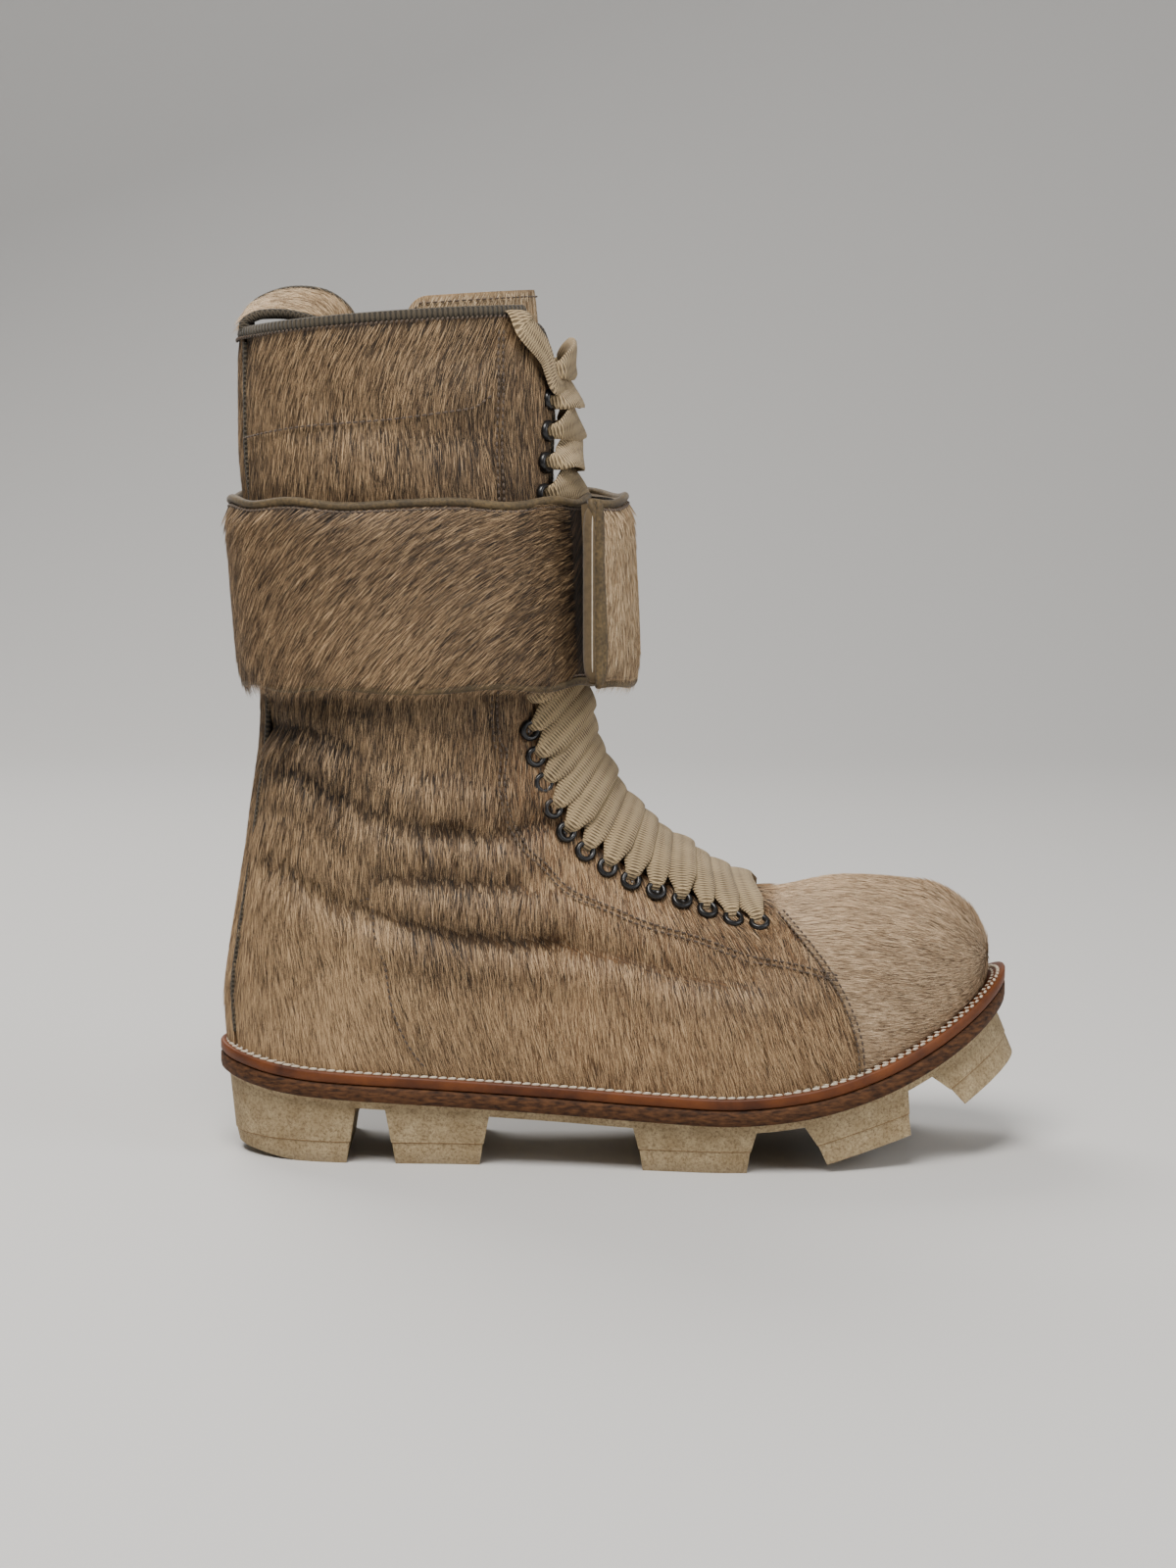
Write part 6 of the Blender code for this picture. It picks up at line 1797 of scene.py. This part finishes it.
def strap_layer(turn):
    """How far out the strap lies: its outer end laps over its inner end and bulges across the front."""
    settle = np.clip((turn - STRAP_SETTLE_FROM) / (STRAP_SETTLE_TO - STRAP_SETTLE_FROM), 0, 1)
    lap = STRAP_LAP * (1 - settle**2 * (3 - 2 * settle))
    across = np.clip(turn / STRAP_BULGE_REACH, -1, 1)
    return lap + STRAP_BULGE * math.cos(across * math.pi / 2)


def piping_finish():
    finish, tree = new_finish("edge_piping", 0.72, Sheen_Weight=0.1)
    where = object_place(tree)
    nap = noise(tree, where, 850.0, 3.0)
    both = calc(tree, "MULTIPLY", nap, noise(tree, where, 70.0, 3.0))
    tone = blend(tree, span(tree, both, 0.12, 0.40), PIPING_DARK, PIPING_PALE)
    return dress(finish, tone, nap, 0.5, 0.0004)


def suede_finish():
    finish, tree = new_finish("strap_suede", 0.9, Sheen_Weight=0.1)
    nap = noise(tree, object_place(tree), 420.0, 4.0)
    tone = blend(tree, nap, SUEDE_DARK, SUEDE_PALE)
    return dress(finish, tone, nap, 0.6, 0.0006)


PIPING_FINISH, SUEDE_FINISH = piping_finish(), suede_finish()
STRAP_TURNS = np.concatenate([
    np.linspace(STRAP_OVER_END, 0.2, 26)[:-1], np.linspace(0.2, 2 * math.pi + STRAP_UNDER_END, 170)])
BAND_SHARES = np.array([
    0.0, 0.012, 0.035, 0.075, 0.13, 0.2, 0.3, 0.4, 0.5, 0.6, 0.7, 0.8, 0.87, 0.925, 0.965, 0.988, 1.0])


def strap_rows():
    """The band's outer and inner faces, row by row round the leg."""
    ends = strap_ends()
    profile = np.array(STRAP_PROFILE)
    puff = smooth_curve(profile[:, 0], profile[:, 1], BAND_SHARES)
    outer, inner = [], []
    for turn in STRAP_TURNS:
        out = strap_layer(turn) if turn < math.pi else 0.0
        tucked = np.clip((turn - STRAP_TUCK_FROM) / (STRAP_TUCK_TO - STRAP_TUCK_FROM), 0, 1)
        pad = STRAP_PAD * (1 - (1 - STRAP_TUCK_PAD) * tucked)
        swell = 0.0008 * math.sin(5.1 * turn + 0.6) * math.sin(2.3 * turn)
        rim = 0.0009 * np.sin(9 * turn + np.array([0.0, 2.0]))
        row = []
        for share, height in zip(BAND_SHARES, puff):
            point = strap_point(ends, turn, out + STRAP_EDGE + (pad + swell) * height, share)
            point[2] += (rim[0] * (1 - share) + rim[1] * share) * abs(2 * share - 1) ** 3
            row.append(point)
        outer.append(row)
        inner.append([strap_point(ends, turn, out + STRAP_SLACK, share) for share in INNER_SHARES])
    return np.array(outer), np.array(inner)


def strap_lay(outer):
    """The hair sweeps in a broad curl over each side, from steep to nearly level at the band's top."""
    round_way, upward = (unit(np.gradient(outer, axis=k)) for k in (0, 1))
    turn, share = STRAP_TURNS[:, None], BAND_SHARES[None, :]
    t = np.clip(np.where(turn > math.pi, turn - math.pi, turn) / math.pi, 0, 1)
    slope = np.radians(82 - 58 * t - 38 * share * t)
    slope = np.where(turn < 0.25, math.radians(78), slope)[..., None]
    return -(round_way * np.cos(slope) + upward * np.sin(slope))


def sew_strap():
    """The padded band: hair hide outside and suede inside, and its hair, paler with painted light on the end
    that laps over.
    """
    outer, inner = strap_rows()
    rows, wide, thin = len(STRAP_TURNS), len(BAND_SHARES), inner.shape[1]
    n = wide + thin
    points = np.concatenate([outer, inner[:, ::-1]], 1).reshape(-1, 3)
    faces = [
        (i * n + m, i * n + (m + 1) % n, (i + 1) * n + (m + 1) % n, (i + 1) * n + m)
        for i in range(rows - 1) for m in range(n)]
    faces += [tuple(range(n)), tuple((rows - 1) * n + m for m in reversed(range(n)))]
    lay = strap_lay(outer)
    run = run_along(outer[:, wide // 2])[:, None]
    high = outer[..., 2]
    tilt = np.radians(45)
    flow = np.stack([
        run * math.sin(tilt) - high * math.cos(tilt), run * math.cos(tilt) + high * math.sin(tilt),
        0 * high], -1)
    all_round = np.concatenate([flow, np.repeat(flow[:, :1], thin, 1)], 1)
    extra = {"flow": all_round.reshape(-1, 3), "warm": np.full((rows * n, 1), 0.15)}
    band = new_piece("strap_band", points, faces, HIDE_UNDER, "strap", 70, extra)
    band.data.materials.append(SUEDE_FINISH)
    for face in band.data.polygons:
        spots = np.array([band.data.vertices[v].co for v in face.vertices])
        middle = spots.mean(0)
        nearest = np.linalg.norm(inner.reshape(-1, 3) - middle, axis=1).min()
        further = np.linalg.norm(outer.reshape(-1, 3) - middle, axis=1).min()
        if nearest < further or len(face.vertices) > 4:
            face.material_index = 1
    turn = STRAP_TURNS[:, None]
    bare = (turn > 2 * math.pi + STRAP_OVER_END + 0.1) | (np.abs(BAND_SHARES[None, :] - 0.5) > 0.47)
    fade = np.clip((turn - STRAP_FADE_FROM) / (STRAP_FADE_TO - STRAP_FADE_FROM), 0, 1)
    core = outer - (outer - outer.mean((0, 1))) * (0.02, 0.02, 0.0)
    # The over end's hair takes the painted light tones, and fades into the hair in the hide's own tones.
    for name, share, finish, length in (
            ("strap_end_hair", 1 - fade, PAINTED_LIGHT_HAIR, STRAP_END_HAIR_LENGTH),
            ("strap_hair", fade, HIDE_HAIR, STRAP_HAIR_LENGTH)):
        part = slice(*np.flatnonzero(share[:, 0] > 0)[[0, -1]] + (0, 1))
        block = {"outer": outer, "inner": core, "lay": lay, "flow": flow,
                 "cover": np.where(bare, 0.0, share), "warm": 0.15 + 0 * high}
        block = {key: grid[part] for key, grid in block.items()}
        comb_hair(name, [block], finish, length=length, **STRAP_COAT)
    return outer, inner


def pipe_strap(outer):
    """The piping, round the whole band at the outer edge of its rim, and rows of dark thread beside it, which
    are painted shade for the dark line along the piping.
    """
    loop = np.concatenate([outer[:, -1], outer[-1, 1:-1][::-1], outer[::-1, 0], outer[0, 1:-1]])
    loop = loop[np.linalg.norm(loop - np.roll(loop, 1, axis=0), axis=1) > 2e-4]
    up = (loop - loop.mean(0)) * (1, 1, 0)
    tube = loop, *path_frames(loop, up, True), PIPING_RADIUS, PIPING_RADIUS, 2.0, 10, True
    new_tube("strap_piping", tube, PIPING_FINISH)
    # Painted shade: dark thread rows along both edges stand in for the shadow line beside the piping.
    seams = []
    for edge in (2, -3):
        line = outer[:, edge]
        seams.append((line, np.gradient(line, axis=0)[:, [1, 0, 2]] * (1, -1, 0), False))
    sew("strap_stitches", seams, BROWN_THREAD, STRAP_SHADE_STITCH)


def roll_strap_end(outer, inner):
    """The over end's edge: its suede turned out in a soft roll, with a pale seam and upright piping."""
    face, back = outer[0], inner[0]
    middle = (face[len(face) // 2] + back[len(back) // 2]) / 2
    round_way = unit(outer[0, 8] - outer[3, 8])
    thick = np.linalg.norm(face[8] - back[2])
    through = unit(face[8] - back[2])
    low, high = face[0][2] + 0.0010, face[-1][2] - 0.0010

    def upright(name, finish, over, out, ahead, wide, deep):
        z = np.linspace(low - over, high + over, 40)
        line = np.stack([0 * z + middle[0], 0 * z + middle[1], z], 1)
        line[:, :2] += through[:2] * out + round_way[:2] * ahead
        shrink = np.sqrt(np.clip(1 - np.abs(2 * (z - z[0]) / (z[-1] - z[0]) - 1) ** 10, 0.05, 1))
        sides = np.tile(through, (len(z), 1)), np.tile(round_way, (len(z), 1))
        new_tube(name, (line, *sides, wide * shrink, deep * shrink, 2.2, 14), finish)

    upright("strap_end_roll", SUEDE_FINISH, 0.0, 0.0, 0.0004, thick * 0.48, 0.0026)
    upright("strap_end_piping", PIPING_FINISH, 0.0022, thick * 0.47, 0.0010, 0.0017, 0.0017)
    upright("strap_end_seam", CREAM_THREAD, -0.004, thick * 0.22, 0.0025, 0.0003, 0.0003)


STRAP_OUTER, STRAP_INNER = sew_strap()
pipe_strap(STRAP_OUTER)
roll_strap_end(STRAP_OUTER, STRAP_INNER)


# Pull loop: a flat strip of hide arched over the collar's back, from its foot on the binding.
# It is sewn down inside the shaft, and its two edges are bound with the collar's tape.
LOOP_WIDTH, LOOP_THICKNESS, LOOP_REACH, LOOP_RISE = 0.024, 0.0024, 0.038, 0.0125
LOOP_EDGE_SIDE, LOOP_EDGE_UP = 0.0016, 0.0020
LOOP_COAT = {"per_mm2": 5.0, "length": 0.0055}

# The pull loop's middle line between its two sewn ends: forward of the collar's back edge and above it
# (shares of LOOP_REACH and LOOP_RISE), and its roll in degrees
LOOP_PATH = np.array([
    # forward, up, roll
    (0.02, 0.66, 6),
    (0.18, 1.02, 14),
    (0.45, 1.16, 22),
    (0.72, 1.05, 26),
    (0.94, 0.55, 24),
    (1.00, -0.20, 14),
    (0.86, -1.00, 6),
    (0.56, -1.50, 2),
])


def loop_middle():
    """The loop's middle line and its roll, from its foot on the binding over to its sewn end."""
    back = LAST.at(COLLAR_SECTION, 1.0)
    low = LAST.at(COLLAR_SECTION - 0.8, 1.0)
    lean = (back[0] - low[0]) / (back[2] - low[2])
    half = LOOP_THICKNESS / 2
    inside = WALL + BINDING_LIP + 0.0025 + half
    seat = back[2] + BINDING_HEIGHT + 0.0012
    middle = back[0] + WALL / 2 - BINDING_LIP
    path = [(middle, seat + rise, 0.0) for rise in (0.0, LOOP_THICKNESS)]
    path += [(back[0] + LOOP_REACH * f, back[2] + LOOP_RISE * up, math.radians(r)) for f, up, r in LOOP_PATH]
    for up in (-2.1, -2.6, -3.1):
        path.append((back[0] + inside + up * LOOP_RISE * lean, back[2] + up * LOOP_RISE, 0.0))
    path = np.array(path)
    steps = np.linspace(0, len(path) - 1, 90)
    rows = np.arange(len(path))
    return [smooth_curve(rows, path[:, k], steps) for k in range(3)]


def sew_loop():
    x, z, roll = loop_middle()
    middle = np.stack([x, 0 * x, z], 1)
    ahead = unit(np.gradient(middle, axis=0))
    side = np.tile([0.0, 1.0, 0.0], (len(x), 1))
    normal = np.cross(side, ahead)
    c, s = np.cos(roll)[:, None], np.sin(roll)[:, None]
    across, thick = side * c - normal * s, side * s + normal * c
    verts, faces, measure = tube_parts(middle, across, thick, LOOP_WIDTH / 2, LOOP_THICKNESS / 2, 7.0, 20)
    flow = np.stack([measure[:, 1], measure[:, 0], 0 * measure[:, 0]], 1)
    extra = {"flow": flow, "warm": np.full((len(verts), 1), 0.1)}
    new_piece("pull_loop_hide", verts, faces, HIDE_UNDER, "pull_loop", 60, extra)
    outward = -thick if thick[len(x) // 3][2] < 0 else thick
    shares = np.linspace(-0.92, 0.92, 9)
    outer = middle[:, None] + across[:, None] * shares[None, :, None] * LOOP_WIDTH / 2
    outer += outward[:, None] * LOOP_THICKNESS / 2
    flat = np.zeros(outer.shape[:2])
    block = {
        "outer": outer, "inner": outer - outward[:, None] * 0.001,
        "lay": np.broadcast_to(-ahead[:, None], outer.shape),
        "flow": np.stack([flat + shares * LOOP_WIDTH / 2, flat + z[:, None], flat], -1),
        "cover": flat + (z[:, None] > COLLAR_HEIGHT - 0.01), "warm": flat + 0.1}
    # The loop's hair takes the painted light tones.
    comb_hair("pull_loop_hair", [block], PAINTED_LIGHT_HAIR, **LOOP_COAT, seed=61)
    for k, edge in enumerate((-1, 1)):
        tube = middle + across * edge * LOOP_WIDTH / 2, across, thick, LOOP_EDGE_SIDE, LOOP_EDGE_UP, 2.2, 10
        new_tube(f"pull_loop_edge_{k + 1}", tube, BINDING_FINISH)


sew_loop()
bpy.data.objects.remove(STRAND)
